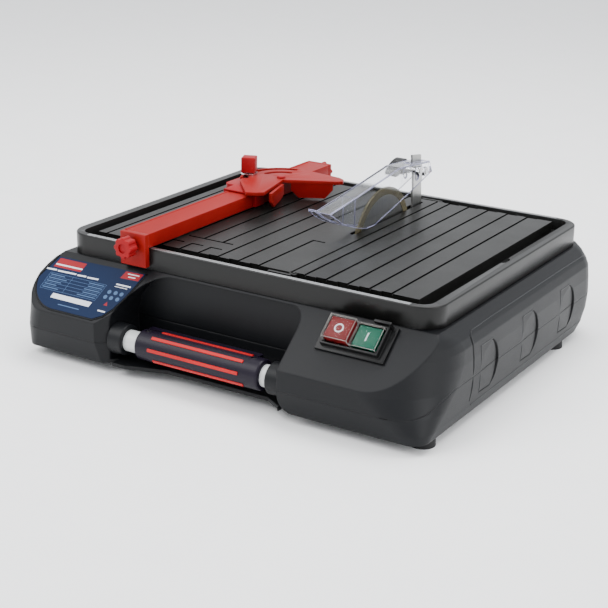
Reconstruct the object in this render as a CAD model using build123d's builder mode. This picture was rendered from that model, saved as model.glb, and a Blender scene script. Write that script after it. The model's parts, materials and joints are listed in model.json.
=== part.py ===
"""Portable wet tile saw with a 110 mm blade, a belt drive, a sliding fence and a mitre gauge.

Origin: middle of the footprint on the floor. +X to the right of the operator, +Y to the rear, +Z up.
Lengths are in millimetres.
"""

from build123d import *

import os
from math import atan2, cos, degrees, hypot, radians, sin

os.makedirs("parts", exist_ok=True)

# ---- driving dimensions ----
TABLE_Y = 14.0  # middle of the table in front-to-rear direction
TABLE_TOP = 109.6
FRAME_W = 389.0
FRAME_FRONT = -140.0
FRAME_REAR = 173.0
FRAME_BOTTOM = 90.5
FRAME_TOP = 110.0
FRAME_CORNER = 22.0
SIDE_RIM = 10.0
END_RIM = 6.6
LEDGE_TOP = 99.0

FLOOR_Z = 9.0  # underside of the base, carried by the feet
DECK_Z = 90.0
WALL = 3.0
HALF_WIDTH = 213.0
FRONT_Y = -190.0
CREASE_Z = 47.5
SLOPE_END_Y = -140.0
SPLIT_FRONT_Z = 29.0
SPLIT_SIDE_Z = 44.0

BLADE_X = 30.3
BLADE_R = 55.0
BLADE_Y = TABLE_Y + 50.5
BLADE_Z = 87.4
RIM_WIDTH = 7.5
SPINDLE_R = 6.0

MOTOR_Y = TABLE_Y + 112.0
MOTOR_Z = 50.0
MOTOR_R = 33.0

HANDLE_Y = -172.0
HANDLE_Z = 31.5
HANDLE_R = 10.0
GRIP_R = 14.0
GRIP_X = (-81.0, 51.5)

FENCE_X = (-125.0, -96.5)
FENCE_Z = (110.8, 124.0)
GAUGE_PIVOT = (-97.5, TABLE_Y + 66.5)
SWITCH_X = 131.5
SWITCH_S = 45.0
SEAM_X = 44.3

SLOPE = atan2(DECK_Z - CREASE_Z, SLOPE_END_Y - FRONT_Y)
RUN = 0.04  # radial clearance of a running fit
GAP = 0.3  # clearance between bodies that only pass each other


# ---- helpers: each adds to or cuts from the part being built ----
def block(x, y, z, mode=Mode.ADD):
    """A box between two corners, given as (low, high) along each axis."""
    middle = tuple((low + high) / 2 for low, high in (x, y, z))
    with Locations(middle):
        Box(x[1] - x[0], y[1] - y[0], z[1] - z[0], mode=mode)


def rod_x(x, centre, radius, mode=Mode.ADD):
    """A cylinder along X about centre (y, z)."""
    with Locations(Location(((x[0] + x[1]) / 2, centre[0], centre[1]), (0, 90, 0))):
        Cylinder(radius, x[1] - x[0], mode=mode)


def rod_y(y, centre, radius, mode=Mode.ADD):
    """A cylinder along Y about centre (x, z)."""
    with Locations(Location((centre[0], (y[0] + y[1]) / 2, centre[1]), (90, 0, 0))):
        Cylinder(radius, y[1] - y[0], mode=mode)


def rod_z(z, centre, radius, mode=Mode.ADD):
    """A cylinder along Z about centre (x, y)."""
    with Locations((centre[0], centre[1], (z[0] + z[1]) / 2)):
        Cylinder(radius, z[1] - z[0], mode=mode)


def slab(z, x, y, radius, mode=Mode.ADD):
    """An upright prism with a rounded rectangular outline."""
    with BuildSketch(Plane.XY.offset(z[0])) as face:
        with Locations(((x[0] + x[1]) / 2, (y[0] + y[1]) / 2)):
            RectangleRounded(x[1] - x[0], y[1] - y[0], radius)
    extrude(face.sketch, amount=z[1] - z[0], mode=mode)


def prism_x(points, x, mode=Mode.ADD):
    """A prism along X whose outline is given as (y, z) points."""
    with BuildSketch(Plane.YZ.offset(x[0])) as face:
        with BuildLine():
            Polyline(*points, close=True)
        make_face()
    extrude(face.sketch, amount=x[1] - x[0], mode=mode)


def prism_z(points, z, mode=Mode.ADD):
    """A prism along Z whose outline is given as (x, y) points."""
    with BuildSketch(Plane.XY.offset(z[0])) as face:
        with BuildLine():
            Polyline(*points, close=True)
        make_face()
    extrude(face.sketch, amount=z[1] - z[0], mode=mode)


def save(builder, name):
    """Label the finished piece and write it to its own file."""
    builder.part.label = name
    export_step(builder.part, f"parts/{name}.step")


# ---- housing: two moulded half shells ----
# level: height, half width, front, rear, right front corner, left front corner, rear corners
LEVELS = [
    (FLOOR_Z, 209.5, FRONT_Y + 4.0, 160.0, 14.0, 12.0, 26.0),
    (16.0, 211.0, FRONT_Y + 2.4, 172.0, 22.0, 16.0, 30.0),
    (SPLIT_FRONT_Z, 212.4, FRONT_Y, 182.5, 40.0, 21.0, 34.0),
    (SPLIT_SIDE_Z, HALF_WIDTH, FRONT_Y, 186.0, 60.0, 26.0, 36.0),
    (60.0, 212.6, FRONT_Y, 185.0, 70.0, 29.0, 36.0),
    (72.0, 211.0, FRONT_Y, 184.0, 74.0, 30.0, 34.0),
    (79.0, 208.0, FRONT_Y, 181.5, 70.0, 30.0, 32.0),
    (85.0, 203.5, FRONT_Y, 179.0, 62.0, 28.0, 28.0),
    (DECK_Z, 197.5, FRONT_Y, 177.0, 54.0, 25.0, 25.0),
]


def outline(half_width, front, rear, right_front, left_front, rear_corner):
    """Draw a rectangle with its own radius at each front corner, anticlockwise from the front."""
    corners = [
        (half_width, front, right_front, -90),
        (half_width, rear, rear_corner, 0),
        (-half_width, rear, rear_corner, 90),
        (-half_width, front, left_front, 180),
    ]
    arcs = []
    for x, y, radius, start in corners:
        centre = (x - radius * (1 if x > 0 else -1), y + radius * (1 if y == front else -1))
        arcs.append(CenterArc(centre, radius, start, 90))
    for arc, following in zip(arcs, arcs[1:] + arcs[:1]):
        Line(arc @ 1, following @ 0)


def recess_profile(grow):
    """Draw the arch of the handle recess, seen from the front: a wide left and a tight right shoulder."""
    left, right, low, high = -112 - grow, 74 + grow, 12.5 - grow, 88 + grow
    big, small = 44 + grow, 14 + grow
    Line((left, low), (right, low))
    Line((right, low), (right, high - small))
    CenterArc((right - small, high - small), small, 0, 90)
    Line((right - small, high), (left + big, high))
    CenterArc((left + big, high - big), big, 90, 90)
    Line((left, high - big), (left, low))


def housing_solid(inset):
    """The closed outer form of the housing, drawn in by inset on every side."""
    with BuildPart() as form:
        for z, half_width, front, rear, right_front, left_front, rear_corner in LEVELS:
            height = min(max(z, FLOOR_Z + inset), DECK_Z - inset)
            with BuildSketch(Plane.XY.offset(height)):
                with BuildLine():
                    outline(
                        half_width - inset,
                        front + inset,
                        rear - inset,
                        right_front - inset,
                        left_front - inset,
                        rear_corner - inset,
                    )
                make_face()
        loft(ruled=True)
        shift = inset / cos(SLOPE)
        rise = (DECK_Z - CREASE_Z) / (SLOPE_END_Y - FRONT_Y)
        start_y = FRONT_Y - 30
        end_y = SLOPE_END_Y + 30
        prism_x(
            [
                (start_y, CREASE_Z - 30 * rise - shift),
                (end_y, DECK_Z + 30 * rise - shift),
                (start_y, DECK_Z + 30 * rise - shift),
            ],
            (-230, 230),
            Mode.SUBTRACT,
        )
        with BuildSketch(Plane.XZ.offset(230)):
            with BuildLine():
                recess_profile(inset)
            make_face()
        extrude(amount=-230 - RECESS_BACK - inset, mode=Mode.SUBTRACT)
        # the left block's inner edge is cut away at a slant, the right block's lower one is rounded
        slant = [(-124 - inset, FRONT_Y - 1), (-106, FRONT_Y - 1), (-106, -176.5 + inset)]
        prism_z(slant, (FLOOR_Z - 1, DECK_Z), Mode.SUBTRACT)
        with BuildSketch(Plane.XZ.offset(-FRONT_Y + 1)) as corner:
            with Locations((74 + ROUNDING / 2, FLOOR_Z + ROUNDING / 2)):
                Rectangle(ROUNDING, ROUNDING)
            with Locations((74 + ROUNDING, FLOOR_Z + ROUNDING)):
                Circle(ROUNDING - inset, mode=Mode.SUBTRACT)
        extrude(corner.sketch, amount=FRONT_Y - RECESS_BACK - inset, mode=Mode.SUBTRACT)
    return form.part


RECESS_BACK = -138.0
ROUNDING = 14.0


def split_region(z_low):
    """Everything under the joint between the half shells, which rises round the front corners."""
    with BuildPart() as region:
        prism_x(
            [
                (-260, z_low),
                (260, z_low),
                (260, SPLIT_SIDE_Z),
                (FRONT_Y + 54, SPLIT_SIDE_Z),
                (FRONT_Y + 34, SPLIT_SIDE_Z - 6),
                (FRONT_Y + 20, HANDLE_Z + 0.5),
                (FRONT_Y + 8, SPLIT_FRONT_Z),
                (-260, SPLIT_FRONT_Z),
            ],
            (-240, 240),
        )
    return region.part


outer_form = housing_solid(0)
inner_form = housing_solid(WALL)
below_joint = split_region(-10)

# flutes in the side walls: each starts flush and deepens towards a curved rear edge
FLUTE_Y = [-86.0, 0.0, 86.0]
FLUTE_Z = (23.5, 66.0)
FLUTE_DEPTH = 1.6


def side_flutes():
    """Wedges that cut the three D-shaped flutes of the right wall, mirrored for the left one."""
    with BuildPart() as flutes:
        for start in FLUTE_Y:
            low, high = FLUTE_Z
            with BuildSketch(Plane.YZ.offset(HALF_WIDTH - 7)):
                with BuildLine():
                    Polyline((start + 22, low), (start, low), (start, high), (start + 23, high))
                    ThreePointArc((start + 23, high), (start + 34, 44), (start + 22, low))
                make_face()
            extrude(amount=12)
        inside, flush, deep = HALF_WIDTH - 9, HALF_WIDTH - 0.1, HALF_WIDTH - FLUTE_DEPTH
        for start in FLUTE_Y:
            prism_z(
                [
                    (inside, start - 4),
                    (flush, start - 4),
                    (flush, start),
                    (deep, start + 36),
                    (inside, start + 36),
                ],
                (10, 80),
                Mode.SUBTRACT,
            )
        mirror(about=Plane.YZ)
    return flutes.part


flute_cutters = side_flutes()
SCREW_POSTS = [(-188, -60), (-188, 40), (188, -60), (188, 40), (-60, 168), (60, 168)]
FRAME_POSTS = [(x, TABLE_Y + y) for x in (-175.5, 175.5) for y in (-134, 134)]
FEET = [(-197, -158), (197, -158), (-197, 110), (197, 110)]
GLAND_X = 150.0
GLAND_Z = 27.0
slope_plane = Plane(
    origin=(0, FRONT_Y, CREASE_Z), x_dir=(1, 0, 0), z_dir=(0, -sin(SLOPE), cos(SLOPE))
)

with BuildPart() as lower_housing:
    add(outer_form)
    add(inner_form, mode=Mode.SUBTRACT)
    add(below_joint, mode=Mode.INTERSECT)
    # the lip under the handle is set back between the two front blocks
    with BuildSketch(Plane.XY.offset(0)):
        with BuildLine():
            Polyline((-96, FRONT_Y - 20), (-96, FRONT_Y + 2), (-52, FRONT_Y + 17), (55, FRONT_Y + 17))
            Polyline((55, FRONT_Y + 17), (73, FRONT_Y + 6), (73, FRONT_Y - 20), (-96, FRONT_Y - 20))
        make_face()
    extrude(amount=12.5, mode=Mode.SUBTRACT)
    for x, y in SCREW_POSTS:
        rod_z((FLOOR_Z, SPLIT_SIDE_Z), (x, y), 5.0)
        rod_z((FLOOR_Z - 1, FLOOR_Z + 6), (x, y), 3.6, Mode.SUBTRACT)
        rod_z((FLOOR_Z, SPLIT_SIDE_Z + 1), (x, y), 2.0, Mode.SUBTRACT)
    for x, y in FEET:
        rod_z((FLOOR_Z, FLOOR_Z + 8), (x, y), 6.0)
        rod_z((FLOOR_Z - 1, FLOOR_Z + 8.5), (x, y), 1.8, Mode.SUBTRACT)
    rod_x((-121, -111), (HANDLE_Y, HANDLE_Z), HANDLE_R, Mode.SUBTRACT)
    rod_x((73, 83), (HANDLE_Y, HANDLE_Z), HANDLE_R, Mode.SUBTRACT)
    rod_y((150, 200), (GLAND_X, GLAND_Z), 6.0, Mode.SUBTRACT)
    add(flute_cutters, mode=Mode.SUBTRACT)
save(lower_housing, "lower_housing")

with BuildPart() as upper_housing:
    add(outer_form)
    add(inner_form, mode=Mode.SUBTRACT)
    add(below_joint, mode=Mode.SUBTRACT)
    slab((80, 95), (-160, 160), (TABLE_Y - 126, TABLE_Y + 126), 14, Mode.SUBTRACT)
    for x, y in SCREW_POSTS:
        rod_z((SPLIT_SIDE_Z, DECK_Z), (x, y), 5.0)
        rod_z((SPLIT_SIDE_Z - 1, SPLIT_SIDE_Z + 14), (x, y), 2.0, Mode.SUBTRACT)
    for x, y in FRAME_POSTS:
        rod_z((DECK_Z - 12, LEDGE_TOP - 3), (x, y), 6.0)
        rod_z((DECK_Z - 8, LEDGE_TOP), (x, y), 1.6, Mode.SUBTRACT)
    rod_x((-121, -111), (HANDLE_Y, HANDLE_Z), HANDLE_R, Mode.SUBTRACT)
    rod_x((73, 83), (HANDLE_Y, HANDLE_Z), HANDLE_R, Mode.SUBTRACT)
    with BuildSketch(slope_plane.offset(-8)):
        with Locations((SWITCH_X, SWITCH_S)):
            Rectangle(52, 25)
    extrude(amount=16, mode=Mode.SUBTRACT)
    add(flute_cutters, mode=Mode.SUBTRACT)
save(upper_housing, "upper_housing")

# ---- feet, screws and cord inlet ----
with BuildPart() as rubber_feet:
    for x, y in FEET:
        with BuildSketch(Plane.XY) as tread:
            with Locations((x, y)):
                Circle(11)
        extrude(tread.sketch, amount=FLOOR_Z, taper=3)
        rod_z((-1, 3.5), (x, y), 4.0, Mode.SUBTRACT)
        rod_z((3, FLOOR_Z + 1), (x, y), 1.8, Mode.SUBTRACT)
save(rubber_feet, "rubber_feet")

with BuildPart() as case_screws:
    for x, y in FEET:
        rod_z((0.8, 3.5), (x, y), 3.4)
        rod_z((3.5, FLOOR_Z + 7), (x, y), 1.8)
    for x, y in SCREW_POSTS:
        rod_z((FLOOR_Z + 3.5, FLOOR_Z + 6), (x, y), 3.3)
        rod_z((FLOOR_Z + 6, SPLIT_SIDE_Z + 11), (x, y), 2.0)
    for x, y in FRAME_POSTS:
        rod_z((LEDGE_TOP, LEDGE_TOP + 2), (x, y), 3.6)
        rod_z((DECK_Z - 6, LEDGE_TOP), (x, y), 1.6)
save(case_screws, "case_screws")

with BuildPart() as cord_gland:
    rod_y((174, 189), (GLAND_X, GLAND_Z), 6.0)
    rod_y((184, 186.5), (GLAND_X, GLAND_Z), 8.5)
    rod_y((165, 176), (GLAND_X, GLAND_Z), 6.0)
    rod_y((160, 165), (GLAND_X, GLAND_Z), 8.5)
    rod_y((150, 200), (GLAND_X, GLAND_Z), 3.6, Mode.SUBTRACT)
save(cord_gland, "cord_gland")

# ---- table ----
RAIL_X = (-171.0, 169.5)
RAIL_BOTTOM = 108.6
RAIL_INSET = 1.3
with BuildPart() as table_frame:
    low_x, high_x = -FRAME_W / 2, FRAME_W / 2
    slab((FRAME_BOTTOM, FRAME_TOP), (low_x, high_x), (FRAME_FRONT, FRAME_REAR), FRAME_CORNER)
    fillet(table_frame.faces().sort_by(Axis.Z)[-1].edges(), 1.4)
    slab(
        (LEDGE_TOP, FRAME_TOP + 5),
        (low_x + SIDE_RIM, high_x - SIDE_RIM),
        (FRAME_FRONT + END_RIM, FRAME_REAR - END_RIM),
        FRAME_CORNER - 10,
        Mode.SUBTRACT,
    )
    slab((80, 105), (-156, 156), (TABLE_Y - 122, TABLE_Y + 122), 12, Mode.SUBTRACT)
    slab(
        (80, LEDGE_TOP - 3),
        (low_x + 3, high_x - 3),
        (FRAME_FRONT + 3, FRAME_REAR - 3),
        FRAME_CORNER - 3,
        Mode.SUBTRACT,
    )
    for y in (FRAME_FRONT, FRAME_REAR - END_RIM):
        channel = (y + RAIL_INSET, y + END_RIM - RAIL_INSET)
        block(RAIL_X, channel, (RAIL_BOTTOM, FRAME_TOP + 2), Mode.SUBTRACT)
    with BuildSketch(Plane.XY.offset(LEDGE_TOP)) as finger_notch:
        with Locations((high_x - SIDE_RIM, TABLE_Y)):
            SlotOverall(15, 7, rotation=90)
    extrude(finger_notch.sketch, amount=20, mode=Mode.SUBTRACT)
    for x, y in FRAME_POSTS:
        rod_z((80, 105), (x, y), 1.8, Mode.SUBTRACT)
save(table_frame, "table_frame")


def end_rail(start_y):
    """A flat aluminium rail with a scale of fine cuts, let into one end rim of the frame."""
    with BuildPart() as rail:
        block(RAIL_X, (start_y + RAIL_INSET, start_y + END_RIM - RAIL_INSET), (RAIL_BOTTOM, FRAME_TOP + 0.3))
        with Locations(*[(10.0 * step, start_y + END_RIM / 2, FRAME_TOP + 0.3) for step in range(-16, 17)]):
            Box(0.4, 3.0, 0.4, mode=Mode.SUBTRACT)
    return rail.part


with BuildPart() as end_rails:
    add(end_rail(FRAME_FRONT))
    add(end_rail(FRAME_REAR - END_RIM))
save(end_rails, "end_rails")

PANEL_Y = (TABLE_Y - 136.0, TABLE_Y + 143.0)
SKIN = 2.4
PANEL_UNDER = TABLE_TOP - SKIN
GROOVE = 2.5
GROOVE_DEPTH = 1.3
NOTCH_W = 10.5
NOTCH_Z = (LEDGE_TOP + 5, TABLE_TOP + 1)
MAIN_X = (-170.7, SEAM_X - 1.0)
BEVEL_X = (SEAM_X + 0.5, 169.8)
HINGE_Z = TABLE_TOP - 2.0
SLOT_X = (BLADE_X - 3.2, BLADE_X + 3.2)
SLOT_Y = (BLADE_Y - 58.0, TABLE_Y + 133.5)


def panel(x, long_grooves):
    """A table panel: skin, turned-down edges that stand on the frame's ledge, grooves and end notches."""
    with BuildPart() as plate:
        block(x, PANEL_Y, (PANEL_UNDER, TABLE_TOP))
        for y in (PANEL_Y[0], PANEL_Y[1] - 3):
            block((x[0] + 1.5, x[1] - 1.5), (y, y + 3), (LEDGE_TOP, PANEL_UNDER))
        for groove_x in long_grooves:
            low, high = groove_x - GROOVE / 2, groove_x + GROOVE / 2
            block((low, high), PANEL_Y, (TABLE_TOP - GROOVE_DEPTH, TABLE_TOP + 1), Mode.SUBTRACT)
    return plate.part


def end_notches(front_x, rear_x):
    """Cut the small steps beside each groove: left of it at the front edge, right of it at the rear."""
    for x in front_x:
        block((x - NOTCH_W, x), (PANEL_Y[0] - 1, PANEL_Y[0] + 1.6), NOTCH_Z, Mode.SUBTRACT)
    for x in rear_x:
        block((x, x + NOTCH_W), (PANEL_Y[1] - 1.6, PANEL_Y[1] + 1), NOTCH_Z, Mode.SUBTRACT)


def groove_run(points):
    """Cut a groove of table width along straight runs given as (x, y) points."""
    for (x0, y0), (x1, y1) in zip(points, points[1:]):
        block(
            (min(x0, x1) - GROOVE / 2, max(x0, x1) + GROOVE / 2),
            (min(y0, y1) - GROOVE / 2, max(y0, y1) + GROOVE / 2),
            (TABLE_TOP - GROOVE_DEPTH, TABLE_TOP + 1),
            Mode.SUBTRACT,
        )


MAIN_GROOVES = [-160.5, -33.4, -11.2]
BEVEL_GROOVES = [58.3, 79.7, 101.1, 122.5, 143.9]
with BuildPart() as table_plate:
    add(panel(MAIN_X, MAIN_GROOVES))
    block((MAIN_X[0], MAIN_X[0] + 3), PANEL_Y, (LEDGE_TOP, PANEL_UNDER))
    end_notches([-33.4, -11.2, 11.0], [-33.4, -11.2, 11.0])
    front, rear = PANEL_Y
    groove_run([(11.0, front), (11.0, TABLE_Y - 45), (22.5, TABLE_Y - 45)])
    groove_run([(11.0, rear), (11.0, TABLE_Y + 68), (22.0, TABLE_Y + 68)])
    groove_run([(-92.0, TABLE_Y - 98.5), (-44.0, TABLE_Y - 98.5)])
    groove_run([(-75.5, TABLE_Y - 98.5), (-75.5, rear)])
    groove_run([(-54.3, TABLE_Y - 98.5), (-54.3, rear)])
    groove_run([(-75.5, front), (-75.5, TABLE_Y - 117), (-64.3, TABLE_Y - 117)])
    groove_run([(-54.3, front), (-54.3, TABLE_Y - 117), (-43.4, TABLE_Y - 117)])
    groove_run([(-97.0, front), (-97.0, TABLE_Y - 117), (-86.0, TABLE_Y - 117)])
    groove_run([(-97.0, TABLE_Y - 80), (-97.0, rear)])
    groove_run([(-140.0, front), (-140.0, rear)])
    groove_run([(-118.5, front), (-118.5, rear)])
    with BuildSketch(Plane.XY.offset(LEDGE_TOP)) as blade_slot:
        with Locations((BLADE_X, (SLOT_Y[0] + SLOT_Y[1]) / 2)):
            SlotOverall(SLOT_Y[1] - SLOT_Y[0], SLOT_X[1] - SLOT_X[0], rotation=90)
    extrude(blade_slot.sketch, amount=20, mode=Mode.SUBTRACT)
    for x in (-130, -80, -45):
        block((x - 1, x + 1), (front + 3, rear - 3), (PANEL_UNDER - 5, PANEL_UNDER))
    # hinge arms in front of and behind the panel, with the holes that hold the pins
    for arm_y, side in ((front - 6.5, 1), (rear + 3.5, -1)):
        block((24, SEAM_X + 2.6), (arm_y, arm_y + 3), (TABLE_TOP - 5, TABLE_TOP - 0.4))
        neck = (front - 4, front + 1) if side > 0 else (rear - 1, rear + 4)
        block((24, 30), neck, (TABLE_TOP - 5, PANEL_UNDER))
        rod_y((arm_y - 1, arm_y + 4), (SEAM_X, HINGE_Z), 1.0, Mode.SUBTRACT)
save(table_plate, "table_plate")

with BuildPart() as bevel_panel:
    add(panel(BEVEL_X, BEVEL_GROOVES))
    block((BEVEL_X[1] - 3, BEVEL_X[1]), PANEL_Y, (LEDGE_TOP, PANEL_UNDER))
    end_notches(BEVEL_GROOVES, BEVEL_GROOVES)
    for x in (90, 133):
        block((x - 1, x + 1), (PANEL_Y[0] + 3, PANEL_Y[1] - 3), (PANEL_UNDER - 5, PANEL_UNDER))
    corner = bevel_panel.edges().filter_by(Axis.Y).group_by(Axis.Z)[-1].sort_by(Axis.X)[0]
    chamfer(corner, 0.7)
    for lug_y in (PANEL_Y[0] - 3.2, PANEL_Y[1] + 0.2):
        start, end = lug_y, lug_y + 3.0
        rod_y((start, end), (SEAM_X, HINGE_Z), 1.9)
        block((SEAM_X, SEAM_X + 6), (start, end), (HINGE_Z - 1.9, HINGE_Z + 1.4))
        reach = (start, PANEL_Y[0] + 2) if lug_y < 0 else (PANEL_Y[1] - 2, end)
        block((SEAM_X + 2.2, SEAM_X + 6), reach, (HINGE_Z - 1.9, HINGE_Z + 1.4))
        rod_y((start - 1, end + 1), (SEAM_X, HINGE_Z), 1.0 + RUN, Mode.SUBTRACT)
save(bevel_panel, "bevel_panel")

with BuildPart() as hinge_pins:
    rod_y((PANEL_Y[0] - 6.5, PANEL_Y[0] - 0.2), (SEAM_X, HINGE_Z), 1.0)
    rod_y((PANEL_Y[1] + 0.2, PANEL_Y[1] + 6.5), (SEAM_X, HINGE_Z), 1.0)
save(hinge_pins, "hinge_pins")

# ---- carrying handle ----
with BuildPart() as handle_tube:
    rod_x((-118, 80), (HANDLE_Y, HANDLE_Z), HANDLE_R)
    rod_x((-119, 81), (HANDLE_Y, HANDLE_Z), HANDLE_R - 2.2, Mode.SUBTRACT)
save(handle_tube, "handle_tube")

with BuildPart() as handle_collars:
    for x in ((-111.8, -96), (59, 73.8)):
        rod_x(x, (HANDLE_Y, HANDLE_Z), HANDLE_R + 4.5)
    chamfer(handle_collars.edges().filter_by(GeomType.CIRCLE), 1.0)
    rod_x((-119, 81), (HANDLE_Y, HANDLE_Z), HANDLE_R, Mode.SUBTRACT)
save(handle_collars, "handle_collars")

STRIP_ANGLES = [100.0, 54.0, 8.0, -38.0]
STRIP_X = [(-60.0, 37.0), (-64.0, 34.0), (-65.0, 32.0), (-61.0, 36.0)]
STRIP_W = 2.8


def strip_bar(x, angle, outer):
    """One raised strip along the grip, angle measured up from the front."""
    with BuildPart() as bar:
        with Locations(Location(((x[0] + x[1]) / 2, HANDLE_Y, HANDLE_Z), (-angle, 0, 0))):
            with Locations((0, -(GRIP_R - 1.5 + outer) / 2, 0)):
                Box(x[1] - x[0], outer - GRIP_R + 1.5, STRIP_W)
    return bar.part


def grip_body():
    """The moulded grip: a barrel with rounded ends, a thumb rib and pockets for the strips."""
    with BuildPart() as grip:
        rod_x(GRIP_X, (HANDLE_Y, HANDLE_Z), GRIP_R)
        fillet(grip.edges().filter_by(GeomType.CIRCLE), 2.5)
        block((-80, 40), (HANDLE_Y + 8, HANDLE_Y + 14), (HANDLE_Z + 3, HANDLE_Z + 12.5))
        rod_x((-119, 81), (HANDLE_Y, HANDLE_Z), HANDLE_R, Mode.SUBTRACT)
        for x, angle in zip(STRIP_X, STRIP_ANGLES):
            add(strip_bar(x, angle, GRIP_R + 2), mode=Mode.SUBTRACT)
        for x in (-74, 40):
            rod_z((HANDLE_Z + 11, HANDLE_Z + 20), (x, HANDLE_Y), 3.0, Mode.SUBTRACT)
    return grip.part


grip_whole = grip_body()
with BuildPart() as grip_upper:
    add(grip_whole)
    split(bisect_by=Plane.XY.offset(HANDLE_Z), keep=Keep.TOP)
save(grip_upper, "grip_upper")

with BuildPart() as grip_lower:
    add(grip_whole)
    split(bisect_by=Plane.XY.offset(HANDLE_Z), keep=Keep.BOTTOM)
save(grip_lower, "grip_lower")

with BuildPart() as grip_strips:
    for x, angle in zip(STRIP_X, STRIP_ANGLES):
        add(strip_bar(x, angle, GRIP_R + 0.9))
save(grip_strips, "grip_strips")

with BuildPart() as grip_screws:
    for x in (-74, 40):
        rod_z((HANDLE_Z + 11, HANDLE_Z + 12.6), (x, HANDLE_Y), 2.8)
save(grip_screws, "grip_screws")

# ---- drive: motor, belt and blade spindle ----
BRACKET_A = (-48.0, -43.0)
BRACKET_B = (-26.0, -21.0)
BELT_X = (-38.5, -29.5)
SPINDLE_X = (-41.0, 42.0)
PULLEY_DRIVEN_R = 12.0
PULLEY_DRIVE_R = 16.0
BELT_T = 1.8
MOTOR_X = (-150.0, -48.0)
SHAFT_R = 5.0
KNIFE_SCREW = (130.5, 94.5)

with BuildPart() as drive_bracket:
    block((BRACKET_A[0], BRACKET_B[1]), (46, 155), (FLOOR_Z + WALL, 16))
    prism_x([(90, 12), (155, 12), (155, 70), (139, 86), (110, 86), (90, 70)], BRACKET_A)
    prism_x([(46, 12), (155, 12), (155, 60), (135.5, 84), (135.5, 98), (46, 98)], BRACKET_B)
    rod_x((BRACKET_B[0], 18), (BLADE_Y, BLADE_Z), 17.5)
    block((BRACKET_B[1], BLADE_X - 1), (124, 135.5), (91, 98))
    rod_x((BRACKET_B[0] - 1, 19), (BLADE_Y, BLADE_Z), 14.0, Mode.SUBTRACT)
    rod_x((BRACKET_A[0] - 1, BRACKET_A[1] + 1), (MOTOR_Y, MOTOR_Z), 9.0, Mode.SUBTRACT)
    rod_x((BLADE_X - 8, BLADE_X), KNIFE_SCREW, 2.0, Mode.SUBTRACT)
save(drive_bracket, "drive_bracket")

with BuildPart() as bracket_screws:
    for y in (56, 80, 148):
        rod_z((16, 18.5), (-34.5, y), 4.0)
    rod_x((BLADE_X - 7, BLADE_X + 1), KNIFE_SCREW, 2.0)
    rod_x((BLADE_X + 1, BLADE_X + 3.5), KNIFE_SCREW, 3.0)
save(bracket_screws, "bracket_screws")


def bearing(x, centre, bore, outside):
    """A sealed ball bearing as one ring with a dished seal on each side."""
    with BuildPart() as ring:
        rod_x(x, centre, outside)
        rod_x((x[0] - 1, x[1] + 1), centre, bore + RUN, Mode.SUBTRACT)
        for seal in ((x[0] - 1, x[0] + 0.5), (x[1] - 0.5, x[1] + 1)):
            with BuildSketch(Plane.YZ.offset(seal[0])) as dish:
                with Locations(centre):
                    Circle(outside - 2)
                    Circle(bore + 2, mode=Mode.SUBTRACT)
            extrude(dish.sketch, amount=seal[1] - seal[0], mode=Mode.SUBTRACT)
    return ring.part


with BuildPart() as ball_bearings:
    add(bearing((-21, -12), (BLADE_Y, BLADE_Z), SPINDLE_R, 14.0))
    add(bearing((9, 18), (BLADE_Y, BLADE_Z), SPINDLE_R, 14.0))
    add(bearing((MOTOR_X[0], MOTOR_X[0] + 9), (MOTOR_Y, MOTOR_Z), SHAFT_R, 13.0))
    add(bearing((MOTOR_X[1] - 13, MOTOR_X[1] - 4), (MOTOR_Y, MOTOR_Z), SHAFT_R, 13.0))
save(ball_bearings, "ball_bearings")

with BuildPart() as spindle:
    rod_x(SPINDLE_X, (BLADE_Y, BLADE_Z), SPINDLE_R)
    rod_x((-10, 7), (BLADE_Y, BLADE_Z), SPINDLE_R + 2)
    chamfer(spindle.edges().filter_by(GeomType.CIRCLE).sort_by(Axis.X)[-1], 0.8)
save(spindle, "spindle")


def pulley(centre, radius, bore):
    """A flanged flat-belt pulley."""
    with BuildPart() as wheel:
        rod_x((BELT_X[0] - 0.5, BELT_X[1] + 0.5), centre, radius)
        for x in ((BELT_X[0] - 1.5, BELT_X[0] - 0.3), (BELT_X[1] + 0.3, BELT_X[1] + 1.5)):
            rod_x(x, centre, radius + 3)
        rod_x((BELT_X[0] - 3, BELT_X[1] + 3), centre, bore, Mode.SUBTRACT)
    return wheel.part


with BuildPart() as spindle_pulley:
    add(pulley((BLADE_Y, BLADE_Z), PULLEY_DRIVEN_R, SPINDLE_R))
save(spindle_pulley, "spindle_pulley")

with BuildPart() as motor_pulley:
    add(pulley((MOTOR_Y, MOTOR_Z), PULLEY_DRIVE_R, SHAFT_R))
save(motor_pulley, "motor_pulley")


def belt_loop(clear):
    """Draw the outline of the belt round both pulleys, grown by clear, in the YZ plane."""
    distance = hypot(MOTOR_Y - BLADE_Y, MOTOR_Z - BLADE_Z)
    heading = atan2(MOTOR_Z - BLADE_Z, MOTOR_Y - BLADE_Y)
    small, big = PULLEY_DRIVEN_R + clear, PULLEY_DRIVE_R + clear
    wrap = atan2((big - small) / distance, 1)
    turn = degrees(heading) + 90
    lean = degrees(wrap)
    first = CenterArc((BLADE_Y, BLADE_Z), small, turn + lean, 180 - 2 * lean)
    second = CenterArc((MOTOR_Y, MOTOR_Z), big, turn + 180 - lean, 180 + 2 * lean)
    Line(first @ 1, second @ 0)
    Line(second @ 1, first @ 0)


with BuildPart() as drive_belt:
    with BuildSketch(Plane.YZ.offset(BELT_X[0])) as loop:
        with BuildLine():
            belt_loop(0.2 + BELT_T)
        make_face()
        with BuildLine():
            belt_loop(0.2)
        make_face(mode=Mode.SUBTRACT)
    extrude(amount=BELT_X[1] - BELT_X[0])
save(drive_belt, "drive_belt")

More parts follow.
